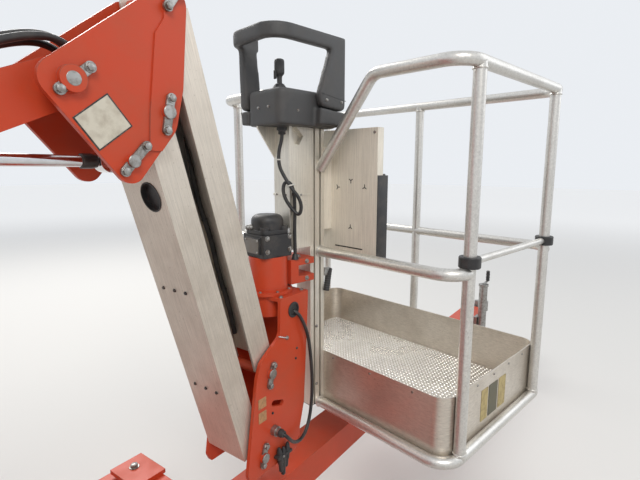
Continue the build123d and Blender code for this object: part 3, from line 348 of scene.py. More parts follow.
# Chassis: welded box rails, cross members, slewing pedestal and drawbar, painted orange-red
# over steel. The paint has dulled, with grey bare edges and settled dust.
orange_paint = weathered(
    "orange_paint", (0.55, 0.06, 0.02), (0.16, 0.1, 0.08), (0.34, 0.12, 0.075),
    (0.34, 0.85, 0.34, 7, 330), 0.12, specular=0.32)
sign_white = weathered(
    "sign_white", (0.62, 0.58, 0.48), (0.3, 0.28, 0.24), (0.3, 0.24, 0.17),
    (0.55, 0.6, 0.38, 40, 300), 0.05)
paint(orange_paint, "chassis_frame", "drawbar",
      *[f"outrigger_{end}_{side}" for end in ("front", "rear") for side, _ in SIDES])
XZ = Matrix(((1, 0, 0, 0), (0, 0, 1, 0), (0, 1, 0, 0), (0, 0, 0, 1)))
YZ = Matrix(((0, 0, 1, 0), (1, 0, 0, 0), (0, 1, 0, 0), (0, 0, 0, 1)))
UP = (0, 0, 1)


def rounded(low, high, radius):
    """Outline of a rectangle between two corners, with round corners."""
    points = []
    for u, v, start in ((high[0] - radius, high[1] - radius, 0), (low[0] + radius, high[1] - radius, 90),
                        (low[0] + radius, low[1] + radius, 180), (high[0] - radius, low[1] + radius, 270)):
        turns = [radians(start + 18 * step) for step in range(6)]
        points += [(u + radius * cos(turn), v + radius * sin(turn)) for turn in turns]
    return points


def slab(outline, low, high, place=XZ):
    """Flat plate as points and faces: an outline between two levels across it."""
    points = [place @ Vector((u, v, level)) for level in (low, high) for u, v in outline]
    ends = [range(len(outline)), range(len(outline), len(points))]
    return points, ends + walls(*ends)


REAR_FACE = -2.4752
rows = []
for side in (-1, 1):
    rows += [((x, side * 0.34, z), (0, side, 0), 0.01) for x in (-1.05, -0.91) for z in (0.33, 0.385)]
    rows += [((x, side * 0.4, 0.435), UP, 0.013) for x in (-2.4, 0.4)]
    rows += [((x, side * 0.0352, 0.37), (0, side, 0), 0.009) for x in (3.12, 3.165)]
    rows += [((REAR_FACE, side * 0.12, 0.36), (-1, 0, 0), 0.005)]
bolts("chassis_bolts", "chassis", rows)
piece("number_board", "chassis", sign_white,
      [slab(rounded((-0.15, 0.312), (0.15, 0.408), 0.012), -2.4775, REAR_FACE, YZ)])

# Reflectors and tail lamps: moulded lenses, amber along the sides and red at the rear, ribbed
# inside and clamped to the frame.
lens, given, made = new_group("lens_ribs", "ShaderNodeTree", {
    "Inner": "Color", "Outer": "Color", "Split": "Float", "Ribs": "Float"}, SURFACE)
place = wire(lens, "ShaderNodeTexCoord", pick="Object")
outward = calc(lens, "ABSOLUTE", wire(lens, "ShaderNodeSeparateXYZ", {0: place}, "Y"))
tone = mixed(lens, calc(lens, "GREATER_THAN", outward, given["Split"]), given["Inner"], given["Outer"])
wave = wire(lens, "ShaderNodeTexWave", {"Vector": place, "Scale": given["Ribs"]}, "Fac", bands_direction="Z")
end_with(lens, made, tone, spread(lens, noise(lens, place, 40, 6), 0, 1, 0.08, 0.38), wave)
amber = (0.6, 0.18, 0.01, 1)
amber_lens = finish_with("amber_lens", lens, {"Inner": amber, "Outer": amber, "Split": 0.25, "Ribs": 60}, 0.4)
red_lens = finish_with("red_lens", lens, {
    "Inner": (0.36, 0.01, 0.01, 1), "Outer": (0.58, 0.16, 0.01, 1), "Split": 0.262, "Ribs": 60}, 0.4)
paint(red_lens, "tail_lamps")
dot = [(28, 0), (28, 6), (25, 9), (12, 10.5)]
piece("side_reflectors", "chassis", amber_lens, [
    turned(dot, (x, side * 0.3402, 0.36), (0, side, 0), 28) for x in (-2.1, 0.2) for side in (-1, 1)])

# Axle, fenders and coupler: a square torsion axle in black paint, fenders of black moulded
# plastic bolted to steel straps, and a plated ball coupler.
black_paint = weathered(
    "black_paint", (0.018, 0.018, 0.019), (0.15, 0.12, 0.1), (0.17, 0.14, 0.11),
    (0.5, 0.7, 0.34, 10, 300), 0.12)
grey_plastic = weathered(
    "grey_plastic", (0.058, 0.058, 0.058), (0.13, 0.13, 0.125), (0.17, 0.155, 0.14),
    (0.35, 0.35, 0.48, 14, 620), 0.55, rounding=0.004)
paint(black_paint, "axle")
paint(grey_plastic, "fender_left", "fender_right")
paint(zinc, "coupler", "jack_tube", "jack_foot")
for name, side in SIDES:
    rows = [((x, side * 0.6222, z), (0, -side, 0), 0.007) for x in (-1.315, -0.885) for z in (0.455, 0.54)]
    rows += [((x, side * 0.36, 0.4202), UP, 0.008) for x in (-1.315, -0.885)]
    bolts(f"fender_bolts_{name}", "chassis", rows)

# Tongue jack and outriggers: plated screw jack with a black grip on its crank, and orange
# swing beams with plated legs, each held by a spring pin with a black knob.
grip = [(11.3, 0), (14.5, 3), (12.5, 14), (14.5, 25), (12.5, 37), (14.5, 49), (12.5, 61), (14, 71),
        (10, 76.5)]
piece("jack_grip", "chassis", black_rubber, [turned(grip, (2.96, -0.125, 0.6785), UP, 20)])
ring = [(33.5, -4), (47, -4), (47, 6), (43, 9), (33.5, 9)]
knob = [(7, 0), (7, 16), (12.5, 18), (14.5, 28), (12.5, 38), (6, 41)]
for end, leg_x, pin_x in (("front", -0.45, -0.29), ("rear", -1.55, -1.71)):
    for side_name, side in SIDES:
        name = f"{end}_{side_name}"
        paint(zinc, f"leg_{name}")
        piece(f"leg_collar_{name}", f"outrigger_{name}", black_rubber, [
            turned(ring, (leg_x, side * 0.44, z), (0, 0, way), 28, closed=True)
            for z, way in ((0.2095, -1), (0.4785, 1))])
        piece(f"leg_pin_{name}", f"outrigger_{name}", black_rubber,
              [turned(knob, (pin_x, side * 0.4805, 0.36), (0, side, 0), 20)])

# Turntable: a slewing plate bolted to its ring, two welded uprights and a worm drive. The
# orange covers beside it are moulded, with vents, a paddle latch and a black rubber edge.
orange_plastic = weathered(
    "orange_plastic", (0.6, 0.075, 0.02), (0.5, 0.16, 0.09), (0.34, 0.18, 0.12),
    (0.4, 0.4, 0.34, 6, 520), 0.25, rounding=0.003, specular=0.4)
paint(orange_paint, "turntable")
paint(orange_plastic, "battery_cover", "pump_cover")


def bolt_circle(middle, radius, turns, head):
    """Rows of bolts standing in a circle about a middle, at turns in degrees."""
    x, y, z = middle
    return [((x + radius * cos(radians(turn)), y + radius * sin(radians(turn)), z), UP, head)
            for turn in turns]


ring_turns = (0, 44, 58, 72, 90, 108, 122, 136, 180, 224, 238, 252, 270, 288, 302, 316)
bolts("slew_ring_bolts", "turntable", bolt_circle((-1, 0, 0.5404), 0.283, ring_turns, 0.008))
bolts("slew_drive_bolts", "turntable", bolt_circle((-0.83, 0, 0.6303), 0.052, range(0, 360, 60), 0.005))
button = [(9, 0), (9, 6), (7, 7.5)]
for name, side in (("battery", 1), ("pump", -1)):
    middle = side * 0.305
    path = rounded((-1.334, middle - 0.179), (-0.666, middle + 0.179), 0.03)
    piece(f"cover_edge_{name}", "turntable", black_rubber, [slab(path, 0.764, 0.772, Matrix())], edge=0.002)
    piece(f"cover_latch_{name}", "turntable", black_paint, [
        slab(rounded((-0.877, 0.873), (-0.803, 0.917), 0.006), side * 0.4662, side * 0.47),
        slab(rounded((-0.868, 0.879), (-0.826, 0.911), 0.004), side * 0.4698, side * 0.477),
        turned(button, (-0.813, side * 0.4698, 0.895), (0, side, 0), 20)], edge=0.0012)
    bolts(f"cover_screws_{name}", "turntable",
          [((x, side * 0.4802, z), (0, side, 0), 0.006) for x in (-1.27, -0.73) for z in (0.815, 1.035)],
          corners=14)

# Riser: two parallel box links between the turntable and the rear upright, lifted by a black
# cylinder with a chromed rod. Each pin is kept by a plated disc and a bolt.
chrome = weathered(
    "chrome", (0.68, 0.68, 0.69), (0.5, 0.5, 0.5), (0.3, 0.27, 0.23),
    (0.22, 0.1, 0.08, 30, 900), 0.03, metallic=1)
paint(orange_paint, "riser_link_lower", "riser_link_upper", "riser_upright")
for name in ("riser", "main", "level", "jib"):
    paint(black_paint, f"{name}_cylinder_barrel")
    paint(chrome, f"{name}_cylinder_rod")


def pin_discs(name, body, pins):
    """Plated discs with a bolt, on both ends of pins across the machine: (x, z, y, radius in mm)."""
    discs = []
    rows = []
    for x, z, y, radius in pins:
        profile = [(radius, 0), (radius, 5), (radius - 1.5, 6.5), (radius * 0.4, 6.8)]
        for side in (-1, 1):
            discs.append(turned(profile, (x, side * y, z), (0, side, 0), 28))
            rows.append(((x, side * (y + 0.0066), z), (0, side, 0), radius * 0.00034))
    piece(name, body, zinc, discs)
    bolts(f"{name}_bolts", body, rows)


BOOM_Z = 1.61
pin_discs("riser_rear_pins", "riser_upright", [
    (-2.85, 0.88, 0.1302, 34), (-2.83, 1.11, 0.1302, 34), (-3.12, BOOM_Z, 0.1302, 38)])
pin_discs("riser_front_pins", "turntable", [(-0.68, 1.11, 0.1302, 27)])
bolts("rear_panel_bolts", "riser_upright",
      [((-3.3502, y, z), (-1, 0, 0), 0.007) for y in (-0.085, 0.085) for z in (1.275, 1.475)])

# Booms: the main boom is a welded square tube with a bolted collar that guides the fly boom
# on wear pads. A blank plate is riveted to each side.
paint(orange_paint, "main_boom", "fly_boom")
rows = []
pads = []
for side in (-1, 1):
    rows += [((-0.88, side * 0.0852, z), (0, side, 0), 0.0075) for z in (1.58, 1.64)]
    rows += [((-0.88, y, BOOM_Z + side * 0.0852), (0, 0, side), 0.0075) for y in (-0.03, 0.03)]
    near, far = side * 0.056 - 0.005, side * 0.056 + 0.005
    for low, high in (((-0.03, BOOM_Z + near), (0.03, BOOM_Z + far)), ((near, 1.58), (far, 1.64))):
        pads.append(slab(rounded(low, high, 0.001), -0.852, -0.8485, YZ))
bolts("boom_collar_bolts", "main_boom", rows)
for name, side in SIDES[::-1]:
    piece(f"boom_plate_{name}", "main_boom", sign_white,
          [slab(rounded((-2.3, 1.575), (-1.98, 1.645), 0.006), side * 0.0751, side * 0.0762)])
    bolts(f"boom_plate_rivets_{name}", "main_boom",
          [((x, side * 0.0761, z), (0, side, 0), 0.003) for x in (-2.292, -1.988) for z in (1.583, 1.637)],
          corners=12)
piece("boom_wear_pads", "main_boom", grey_plastic, pads)

# Hoses: three black hydraulic lines run from the junction cover along the fly boom and arch over
# the neck to its nose. They are clipped there, so they ride with the boom.
hose_rubber = weathered(
    "hose_rubber", (0.016, 0.016, 0.017), (0.05, 0.05, 0.05), (0.11, 0.1, 0.09),
    (0.4, 0.2, 0.36, 18, 700), 0.12)


def cord(name, body, node, routes, radius, place=Matrix()):
    """Held cords in one piece: smooth curves, with the routes' points in mm as control points."""
    data = bpy.data.curves.new(name, "CURVE")
    data.dimensions = "3D"
    data.bevel_depth = radius
    data.bevel_resolution = 4
    data.use_fill_caps = True
    data.resolution_u = 10
    for route in routes:
        spline = data.splines.new("NURBS")
        spline.points.add(len(route) - 1)
        for point, spot in zip(spline.points, route):
            point.co = (*(place @ Vector([value / 1000 for value in spot])), 1)
        spline.order_u = 3
        spline.use_endpoint_u = True
    data.materials.append(hose_rubber)
    item = linked(name, data)
    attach(item, body)
    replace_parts(item, node)


rear, front = [(8.5, 0), (10.8, 1), (10.8, 14), (9.2, 19)], [(8.5, 0), (11.2, 1), (11.2, 12), (9.2, 16)]
neck_routes = []
collars = []
for y, rise in ((-30, 0), (-6, 8), (18, -4)):
    neck_routes.append([
        (-560, y, 1668.3), (-400, y, 1668.3), (-280, y, 1673.3), (-170, y, 1690 + rise),
        (-80, y, 1722 + rise), (0, y, 1762 + rise), (58, y, 1776 + rise), (98, y, 1762 + rise),
        (112, y, 1738), (93.9, y, 1720.2)])
    collars += [turned(rear, (-0.5603, y / 1000, 1.6683), (1, 0, 0), 20),
                turned(front, (0.0933, y / 1000, 1.7196), (0.7137, 0, 0.7005), 20)]
cord("neck_hose_set", "fly_boom", "neck_hoses", neck_routes, 0.008)
piece("hose_clips", "fly_boom", black_rubber, [
    slab(rounded((-0.046, z), (0.036, z + 0.0115), 0.004), x - 0.009, x + 0.009, YZ)
    for x, z in ((-0.47, 1.6655), (-0.33, 1.6665))], edge=0.001)
piece("hose_collars", "fly_boom", zinc, collars)
bolts("junction_screws", "fly_boom",
      [((x, y, 1.6902), UP, 0.0045) for x in (-0.628, -0.572) for y in (-0.034, 0.034)], corners=14)

# Levelling cylinder's rod ends in a black clevis sleeve in front of the knuckle's lower pin.
sleeve = [(13.8, 0), (17, 2), (17, 26), (15, 30), (15, 34), (13.8, 36)]
piece("level_rod_sleeve", "level_rod", black_paint,
      [turned(sleeve, (0.11, 0, 1.53), (1, 0, 0), 28)])

# Knuckle: two orange kite-shaped steel plates with doublers. Plated keeper bars, each under
# two bolts, lock the ends of its four pins, and a blank sign with a dark border is stuck on.
sign_dark = weathered(
    "sign_dark", (0.025, 0.024, 0.022), (0.3, 0.28, 0.24), (0.16, 0.14, 0.12),
    (0.4, 0.8, 0.45, 60, 300), 0.05)
paint(orange_paint, "knuckle", "jib_bracket", "rotator_base")


def stadium(start, end, half):
    """Outline of a bar with round ends between two points."""
    way = atan2(end[1] - start[1], end[0] - start[0])
    outline = []
    for middle, first in ((end, -90), (start, 90)):
        for step in range(9):
            turn = way + radians(first + 22.5 * step)
            outline.append((middle[0] + half * cos(turn), middle[1] + half * sin(turn)))
    return outline


def keepers(name, body, bars):
    """Plated keeper bars on both sides: (start, end, y, how many of the two ends have a bolt)."""
    skin = []
    rows = []
    for start, end, y, ends in bars:
        for side in (-1, 1):
            skin.append(slab(stadium(start, end, 0.0108), side * (y - 0.0062), side * (y + 0.001)))
            rows += [((x, side * (y + 0.0012), z), (0, side, 0), 0.0088) for x, z in (start, end)[2 - ends:]]
    piece(name, body, zinc, skin, 0.001)
    bolts(f"{name}_bolts", body, rows)


def pin_ends(name, body, pins):
    """Plated ends of pins across the machine, on both sides: ((x, z), y, radius in mm)."""
    piece(name, body, zinc, [
        turned([(radius, -1), (radius, 1), (radius - 1.5, 2.4), (4, 2.6)], (x, side * y, z), (0, side, 0), 28)
        for (x, z), y, radius in pins for side in (-1, 1)])


low_pin, top_pin = (0.265, 1.644), (0.305, 1.918)
keepers("knuckle_keepers", "knuckle", [
    ((0.094, 1.713), (0.034, 1.663), 0.108, 2), ((0.273, 1.676), (0.258, 1.602), 0.112, 2),
    ((0.206, 1.564), (0.153, 1.508), 0.108, 2), (top_pin, (0.276, 1.877), 0.112, 1)])
pin_ends("knuckle_pin_ends", "knuckle", [
    (top_pin, 0.1162, 16.5), (low_pin, 0.1162, 16.5), ((0.172, 1.53), 0.1142, 14.5),
    ((0.058, 1.685), 0.1142, 15)])
corners = [(0.1275, 1.6685), (0.1785, 1.6055), (0.1025, 1.5495), (0.0545, 1.6125)]
middle = (0.1158, 1.609)
for name, inset, face, finish, slot in (("knuckle_sign_border", 1, 0.1022, sign_dark, "dark_plastic"),
                                        ("knuckle_sign", 0.93, 0.1027, sign_white, "aluminium")):
    outline = [tuple(centre + inset * (value - centre) for centre, value in zip(middle, corner))
               for corner in corners]
    piece(name, "knuckle", finish, [slab(outline, -face - 0.0007, -face)])

# Folding jib: two parallel arms, each a U of mill-finish aluminium brushed along its length.
# The rear one has a round access hole with a black rubber lip, and a black cup closes the hole
# 12 mm in as painted shade for the arm's dark inside. Rows of small screws sit in its back.
grain, given, made = new_group("grain", "ShaderNodeTree", {
    "Tilt": "Float", "Along": "Vector", "Colour": "Color", "Stain": "Color", "Stained": "Float",
    "Rough": "Float"}, SURFACE)
place = wire(grain, "ShaderNodeTexCoord", pick="Object")
upright = wire(grain, "ShaderNodeVectorRotate", {
    "Vector": place, "Angle": given["Tilt"]}, rotation_type="Y_AXIS")
drawn = wire(grain, "ShaderNodeVectorMath", {0: upright, 1: given["Along"]}, operation="MULTIPLY")
streak = noise(grain, drawn, 9, 8, 0.72)
cloud = noise(grain, place, 5, 8, 0.65)
lit = mixed(grain, 1, given["Colour"], spread(grain, streak, 0.25, 0.75, 0.74, 1.16), "MULTIPLY")
spots = spread(grain, noise(grain, place, 130, 3), 0.64, 0.72)
dirty = calc(grain, "MAXIMUM", spots, spread(grain, cloud, 0.45, 0.8))
final = mixed(grain, calc(grain, "MULTIPLY", dirty, given["Stained"]), lit, given["Stain"])
end_with(grain, made, final, calc(grain, "MULTIPLY_ADD", cloud, 0.24, given["Rough"]), streak)


def grained(name, along, colour, stain, stained, rough, bump, metallic, tilt=0.0):
    """Finish of the grain group."""
    values = (tilt, along, (*colour, 1), (*stain, 1), stained, rough)
    return finish_with(name, grain, enumerate(values), bump, metallic)


ARM_RUN, ARM_DROP = 0.29, 1.054
arm_aluminium = grained("arm_aluminium", (34, 34, 0.9), (0.66, 0.6, 0.52), (0.26, 0.2, 0.14),
                        0.4, 0.36, 0.16, 0.65, atan2(ARM_RUN, ARM_DROP))
paint(arm_aluminium, "jib_arm_lower", "jib_arm_upper")


def arm_place(x, z):
    """Frame of an arm: X down along it, Z out of its front."""
    return Matrix.Translation((x, 0, z)) @ Matrix.Rotation(atan2(ARM_DROP, ARM_RUN), 4, "Y")


LOWER, UPPER = arm_place(*low_pin), arm_place(*top_pin)
bolts("arm_back_screws", "jib_lower",
      [((along, y, -0.0582), (0, 0, -1), 0.0042) for along in (0.462, 0.8) for y in (-0.048, 0, 0.05)],
      finish=black_paint, corners=14, place=LOWER)
lip = [(36.2, -1), (38.5, -1), (39.2, 1.2), (38.2, 2.2), (36.2, 2.2)]
# The black cup behind the lip is painted shade: it darkens the hole where the arm's inside lies in shade.
shade_cup = [(35.2, 0.4), (35.2, -12), (1, -12), (1, -13.2), (36.1, -13.2), (36.1, 0.4)]
piece("arm_hole_lip_and_shade", "jib_lower", black_rubber, [
    turned(profile, (0.192, -0.027, -0.058), (0, 0, -1), 40, True, LOWER) for profile in (lip, shade_cup)])
boss = [(16.8, 0), (25.5, 0), (26.2, 1), (25.5, 2.2), (16.8, 2.2)]
for name, place in (("jib_lower", LOWER), ("jib_upper", UPPER)):
    piece(f"{name}_washers", name, grey_plastic, [
        turned(boss, (along, side * 0.0851, 0), (0, side, 0), 32, True, place)
        for along in (0, 1.0932) for side in (-1, 1)])
wander = [(60, 50), (170, 42), (290, 56), (410, 40), (530, 54), (650, 38), (770, 50), (890, 40), (1000, 50)]
cable_routes = [[(x, -y, 21.7) for x, y in wander], [(x - 8, y + 4, 21.7) for x, y in wander]]
cord("jib_cable_pair", "jib_upper", "jib_cables", cable_routes, 0.008, UPPER)
clip = [(8.2, -2.4), (9.2, -2.4), (9.2, 2.4), (8.2, 2.4)]
piece("jib_cable_ties", "jib_upper", black_rubber, [
    turned(clip, ((x - back) / 1000, side * (y + out) / 1000, 0.0217), (1, 0, 0), 20, True, UPPER)
    for side, back, out in ((-1, 0, 0), (1, 8, 3)) for x, y in ((230, 50), (590, 47), (830, 45))])

# Jib bracket: two orange plates that carry the rotator. Keeper bars lock its pins, small blank
# plates are riveted on, and a black cable runs from a rubber grommet round to a plug in a boot.
sign_tan = weathered(
    "sign_tan", (0.47, 0.25, 0.11), (0.22, 0.1, 0.06), (0.2, 0.12, 0.07),
    (0.8, 0.8, 0.45, 90, 300), 0.05)
cast_black = weathered(
    "cast_black", (0.03, 0.03, 0.032), (0.14, 0.14, 0.14), (0.16, 0.14, 0.12),
    (0.4, 0.5, 0.42, 22, 420), 0.5, metallic=0.2, rounding=0.003)
paint(zinc, "bracket_plug")
keepers("bracket_keepers", "jib_bracket", [
    ((0.606, 0.889), (0.588, 0.826), 0.108, 2), ((0.564, 0.626), (0.549, 0.568), 0.108, 2)])
pin_ends("bracket_pin_ends", "jib_bracket", [
    ((0.555, 0.59), 0.1142, 16.5), ((0.595, 0.864), 0.1142, 16.5)])
piece("bracket_plates", "jib_bracket", sign_tan, [
    slab(rounded((0.538, low), (0.573, high), 0.002), -0.103, -0.1021)
    for low, high in ((0.762, 0.796), (0.714, 0.75))])
rows = [((0.677, -0.1022, 0.958), (0, -1, 0), 0.0055)]
rows += [((x, y, 1.0982), UP, 0.006) for x, out in ((0.775, 0.085), (0.663, 0.09)) for y in (out, -out)]
bolts("bracket_studs", "jib_bracket", rows)
spots = ((0.727, 0.905), (0.721, 0.87), (0.602, 0.723))
bolts("bracket_screws", "jib_bracket",
      [((x, side * 0.1022, z), (0, side, 0), 0.0035) for x, z in spots for side in (-1, 1)],
      finish=black_paint, corners=12)
rod = [(2.2, 0), (2.2, 46), (1.2, 48)]
piece("latch_rod", "jib_bracket", chrome,
      [turned(rod, (0.676, -0.1065, 0.9585), (-0.92, 0, 0.39), 12)])
eyelet = [(20, -4), (23.2, -4), (23.2, 0.4), (26.8, 0.8), (26.8, 2.6), (24.8, 3.8), (20.5, 3)]
web = [(3, -3), (20.5, -3), (20.5, -1), (3, -1)]
plug_boot = [(6.3, -4), (13.5, -4), (13.5, 3), (11.8, 6), (10.5, 14), (6.3, 15.5)]
piece("cable_grommet", "jib_bracket", black_rubber, [
    turned(profile, origin, (0, -1, 0), steps, closed=True) for profile, origin, steps in (
        (eyelet, (0.711, -0.102, 1.047), 32), (web, (0.713, -0.102, 1.047), 32),
        (plug_boot, (0.606, -0.1342, 0.661), 24))])
sleeves = []
for x, top, run, lean in ((0.618, 0.588, 0.92, 0.1), (0.64, 0.58, 1, -0.05), (0.661, 0.586, 0.84, -0.16)):
    profile = [(3.5, -6), (6.5, 0), (9.8, 16)]
    profile += [(9.8, 58 * run), (7.8, 62 * run), (7.8, 90 * run), (5.2, 94 * run)]
    sleeves.append(turned(profile, (x, -0.1132, top), (lean, -0.02, -1), 20))
sleeves.append(slab(rounded((0.604, 0.556), (0.673, 0.566), 0.003), -0.1246, -0.1018))
piece("lead_sleeves", "jib_bracket", cast_black, sleeves, edge=0.0008)
bolts("sleeve_clip_screw", "jib_bracket", [((0.6285, -0.1247, 0.561), (0, -1, 0), 0.0032)], corners=12)
lead = [(711, -72, 1047), (719, -110, 1041), (745, -118, 997), (769, -120, 937), (782, -119, 867),
        (789, -120, 792), (788, -121, 717), (777, -122, 647), (749, -126, 595), (707, -132, 579),
        (661, -140, 599), (622, -154, 641), (606, -150, 661), (606, -134, 661)]
cord("bracket_lead", "jib_bracket", "bracket_cable", [lead], 0.006)

# Rotator: an orange flanged barrel, the turning head with its C clamp, and a black cast motor
# with a domed cap, plated bolts and a grey cover plate.
PLATFORM = Matrix.Translation((0.7, 0, 0)) @ Matrix.Rotation(radians(-10), 4, "Z")
FLAT = PLATFORM @ YZ
plate_grey = weathered(
    "plate_grey", (0.17, 0.155, 0.14), (0.3, 0.28, 0.25), (0.2, 0.16, 0.12),
    (0.5, 0.6, 0.36, 30, 400), 0.2, metallic=0.3)
paint(orange_paint, "rotator_head")
paint(cast_black, "rotator_motor")
bolts("flange_bolts", "jib_bracket", bolt_circle((0.7, 0, 1.1105), 0.074, range(22, 382, 45), 0.0042))
rows = [((x, side * 0.0602, z), (0, side, 0), 0.0066) for x in (-0.045, 0.047) for z in (1.247, 1.291)
        for side in (-1, 1)]
rows += [((0.125, -0.0582, z), (0, -1, 0), 0.0065) for z in (1.1325, 1.1935)]
rows += [((0.115, y, 1.2055), UP, 0.008) for y in (-0.022, 0.036)]
bolts("rotator_bolts", "platform", rows, place=PLATFORM)
piece("motor_plate", "platform", plate_grey, [
    slab(rounded((-0.0395, 1.2395), (0.0355, 1.2885), 0.004), -0.0674, -0.0658, FLAT)], 0.0006)
bolts("motor_plate_screws", "platform",
      [((-0.0674, y, z), (-1, 0, 0), 0.003) for y in (-0.034, 0.03) for z in (1.245, 1.283)],
      corners=14, place=PLATFORM)
fin = [(0.028, 1.313), (0.051, 1.313), (0.05, 1.34), (0.042, 1.357), (0.028, 1.364)]
ribs = [slab(rounded((-0.056, -0.056), (0.056, 0.056), 0.022), 1.2995, 1.315, PLATFORM)]
for turn in range(15, 375, 30):
    ribs.append(slab(fin, -0.0022, 0.0022, PLATFORM @ Matrix.Rotation(radians(turn), 4, "Z") @ XZ))
piece("motor_ribs", "platform", cast_black, ribs, edge=0.0008)
union, plug = [(10, -4), (10, 6), (8.5, 8), (8.5, 16), (6, 19)], [(7, -1), (7, 10), (5.5, 13), (5.5, 18)]
piece("motor_fittings", "platform", zinc, [
    turned(union, (-0.0515, 0.02, 1.322), (-0.93, 0.36, 0), 20, place=PLATFORM),
    turned(plug, (0.05, -0.05, 1.3), UP, 18, place=PLATFORM)])

# Mast: a slotted aluminium extrusion bolted beside a folded aluminium column with a lapped
# seam. A lever with a black ribbed grip locks it low on its outer side.
upright_aluminium = grained(
    "upright_aluminium", (36, 36, 0.8), (0.76, 0.72, 0.64), (0.3, 0.25, 0.19), 0.28, 0.3, 0.14, 0.7)
paint(upright_aluminium, "mast")
FRONT = PLATFORM @ XZ
rows = [((0.19, -0.0382, z), (0, -1, 0), 0.0045) for z in (0.931, 0.7)]
rows += [((0.112, side * 0.0452, 1.427), (0, side, 0), 0.003) for side in (-1, 1)]
rows += [((0.0608, y, 1.427), (-1, 0, 0), 0.003) for y in (-0.025, 0.025)]
bolts("mast_screws", "platform", rows, corners=14, place=PLATFORM)
piece("mast_foot_cap", "platform", black_rubber,
      [slab(rounded((0.161, -0.037), (0.227, 0.037), 0.004), 0.6165, 0.62, PLATFORM)], edge=0.0008)
low_grip, high_grip = Vector((0.234, -0.044, 1.062)), Vector((0.262, -0.032, 1.142))
ribs = [(8.5, -1.5), (10.8, -1)]
for rib in range(9):
    ribs += [(12.4, 4 + 8.5 * rib), (11, 8 + 8.5 * rib)]
ribs += [(12, 81.5), (10.5, 85.8), (8, 86.8)]
piece("lever_grip", "platform", black_rubber, [
    turned(ribs, low_grip, high_grip - low_grip, 20, place=PLATFORM)])
piece("lever_bracket", "platform", zinc, [
    slab(rounded((0.2282, 1.118), (0.256, 1.15), 0.005), -0.04, -0.0374, FRONT),
    turned([(9.5, 0), (9.5, 4), (8, 5.5), (8, 14), (6.5, 16)],
           (0.2282, -0.024, 1.14), (1, 0, 0), 20, place=PLATFORM)], 0.0006)

# Controls: a moulded dark grey box with a joystick in a rubber bellows, under a moulded hoop
# that guards it. Their corners are large and their skin is finely pebbled.
moulded_guard = weathered(
    "moulded_guard", (0.052, 0.052, 0.053), (0.11, 0.11, 0.11), (0.15, 0.14, 0.13),
    (0.3, 0.3, 0.46, 12, 700), 0.6, rounding=0.009)
tie_white = weathered(
    "tie_white", (0.62, 0.61, 0.57), (0.4, 0.4, 0.4), (0.45, 0.39, 0.32), (0.4, 0.2, 0.4, 60, 240), 0.05)
cheeks = finished("cheeks", joined([
    slab([(0.132, 1.661), (0.246, 1.658), (0.25, 1.705), (0.134, 1.715)], -0.1222, -0.088, FRONT),
    slab([(-0.008, 1.661), (0.054, 1.661), (0.058, 1.705), (-0.012, 1.705)], 0.088, 0.126, FRONT)]))
for node, size, passes in (("control_box", 0.0035, 9), ("control_guard", 0.003, 44)):
    core = joined([nodes[node].data])
    core.transform(nodes[node].matrix_world)
    if node == "control_box":
        core.from_mesh(cheeks)
    item = linked(f"{node}_core", baked(node, core))
    for kind, settings in (("REMESH", {"mode": "VOXEL", "voxel_size": size}),
                           ("SMOOTH", {"factor": 0.5, "iterations": passes}), ("DECIMATE", {"ratio": 0.4})):
        modifier = item.modifiers.new(kind, kind)
        for key, value in settings.items():
            setattr(modifier, key, value)
    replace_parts(placed(f"{node}_moulded", as_mesh(item), "platform", moulded_guard), node)
paint(cast_black, "panel_case")
bellows = [(26.2, 7.5)]
for fold in range(4):
    radius, height = 24 - 3.2 * fold, 10 + 4.2 * fold
    bellows += [(radius + 1.8, height), (radius - 1.4, height + 2)]
bellows += [(9.8, 26.2)]
piece("joystick_trim", "platform", black_rubber, [
    turned(bellows, (0.06, 0, 1.768), UP, 32, place=PLATFORM),
    turned([(10.5, 0), (10.5, 3), (8, 4.6)], (0.06, 0, 1.8458), UP, place=PLATFORM),
    slab(rounded((0.04, 1.806), (0.0445, 1.834), 0.002), -0.006, 0.006, FRONT)], edge=0.0006)
bolts("control_screws", "platform",
      [((-0.0102, y, 1.711), (-1, 0, 0), 0.0034) for y in (-0.03, 0.024)]
      + [((x, -0.0932, 1.7), (0, -1, 0), 0.0034) for x in (0.06, 0.19)]
      + [((x, -0.1222, 1.74), (0, -1, 0), 0.004) for x in (0.16, 0.23)]
      + [((x, 0.1262, 1.73), (0, 1, 0), 0.004) for x in (0.01, 0.04)], corners=14, place=PLATFORM)
seam = [(0.136, 1.759), (0.2498, 1.744), (0.2498, 1.746), (0.136, 1.761)]
piece("guard_seam", "platform", black_rubber, [slab(seam, -0.1226, -0.1218, FRONT)])
nut = [(14.1, 0), (17.2, 0), (17.2, 8.5), (16, 10), (14.1, 10)]
seal = [(6.3, 0), (12.5, 0), (12.5, -3.5), (10.5, -6.5), (6.3, -7.5)]
piece("gland_nut", "platform", black_rubber, [
    turned(nut, (0.041, -0.033, 1.64), UP, 6, True, PLATFORM),
    turned(seal, (0.041, -0.033, 1.633), UP, 24, True, PLATFORM)])
lead = [(41, -33, 1633), (41, -33, 1611), (32, -26, 1573), (30, -28, 1527), (40, -42, 1491), (54, -64, 1451),
        (71, -82, 1421), (80, -86, 1387), (76, -76, 1358), (62, -57, 1380), (46, -38, 1416), (42, -32, 1450),
        (49, -38, 1474), (63, -52, 1467), (76, -52, 1430), (78, -52, 1372), (76, -52, 1328), (77, -51, 1284),
        (78, -51, 1245), (78, -51, 1205.3)]
cord("control_lead", "platform", "control_cable", [lead], 0.006, PLATFORM)
piece("cable_ties", "platform", tie_white, [
    turned([(inner, -2.2), (outer, -2.2), (outer, 2.2), (inner, 2.2)], spot, way, steps, True, PLATFORM)
    for inner, outer, spot, way, steps in (
        (14.3, 15.6, (0.058, -0.0555, 1.46), (0.15, -0.25, -0.95), 28),
        (6.2, 7.4, (0.0305, -0.0275, 1.545), UP, 24))])
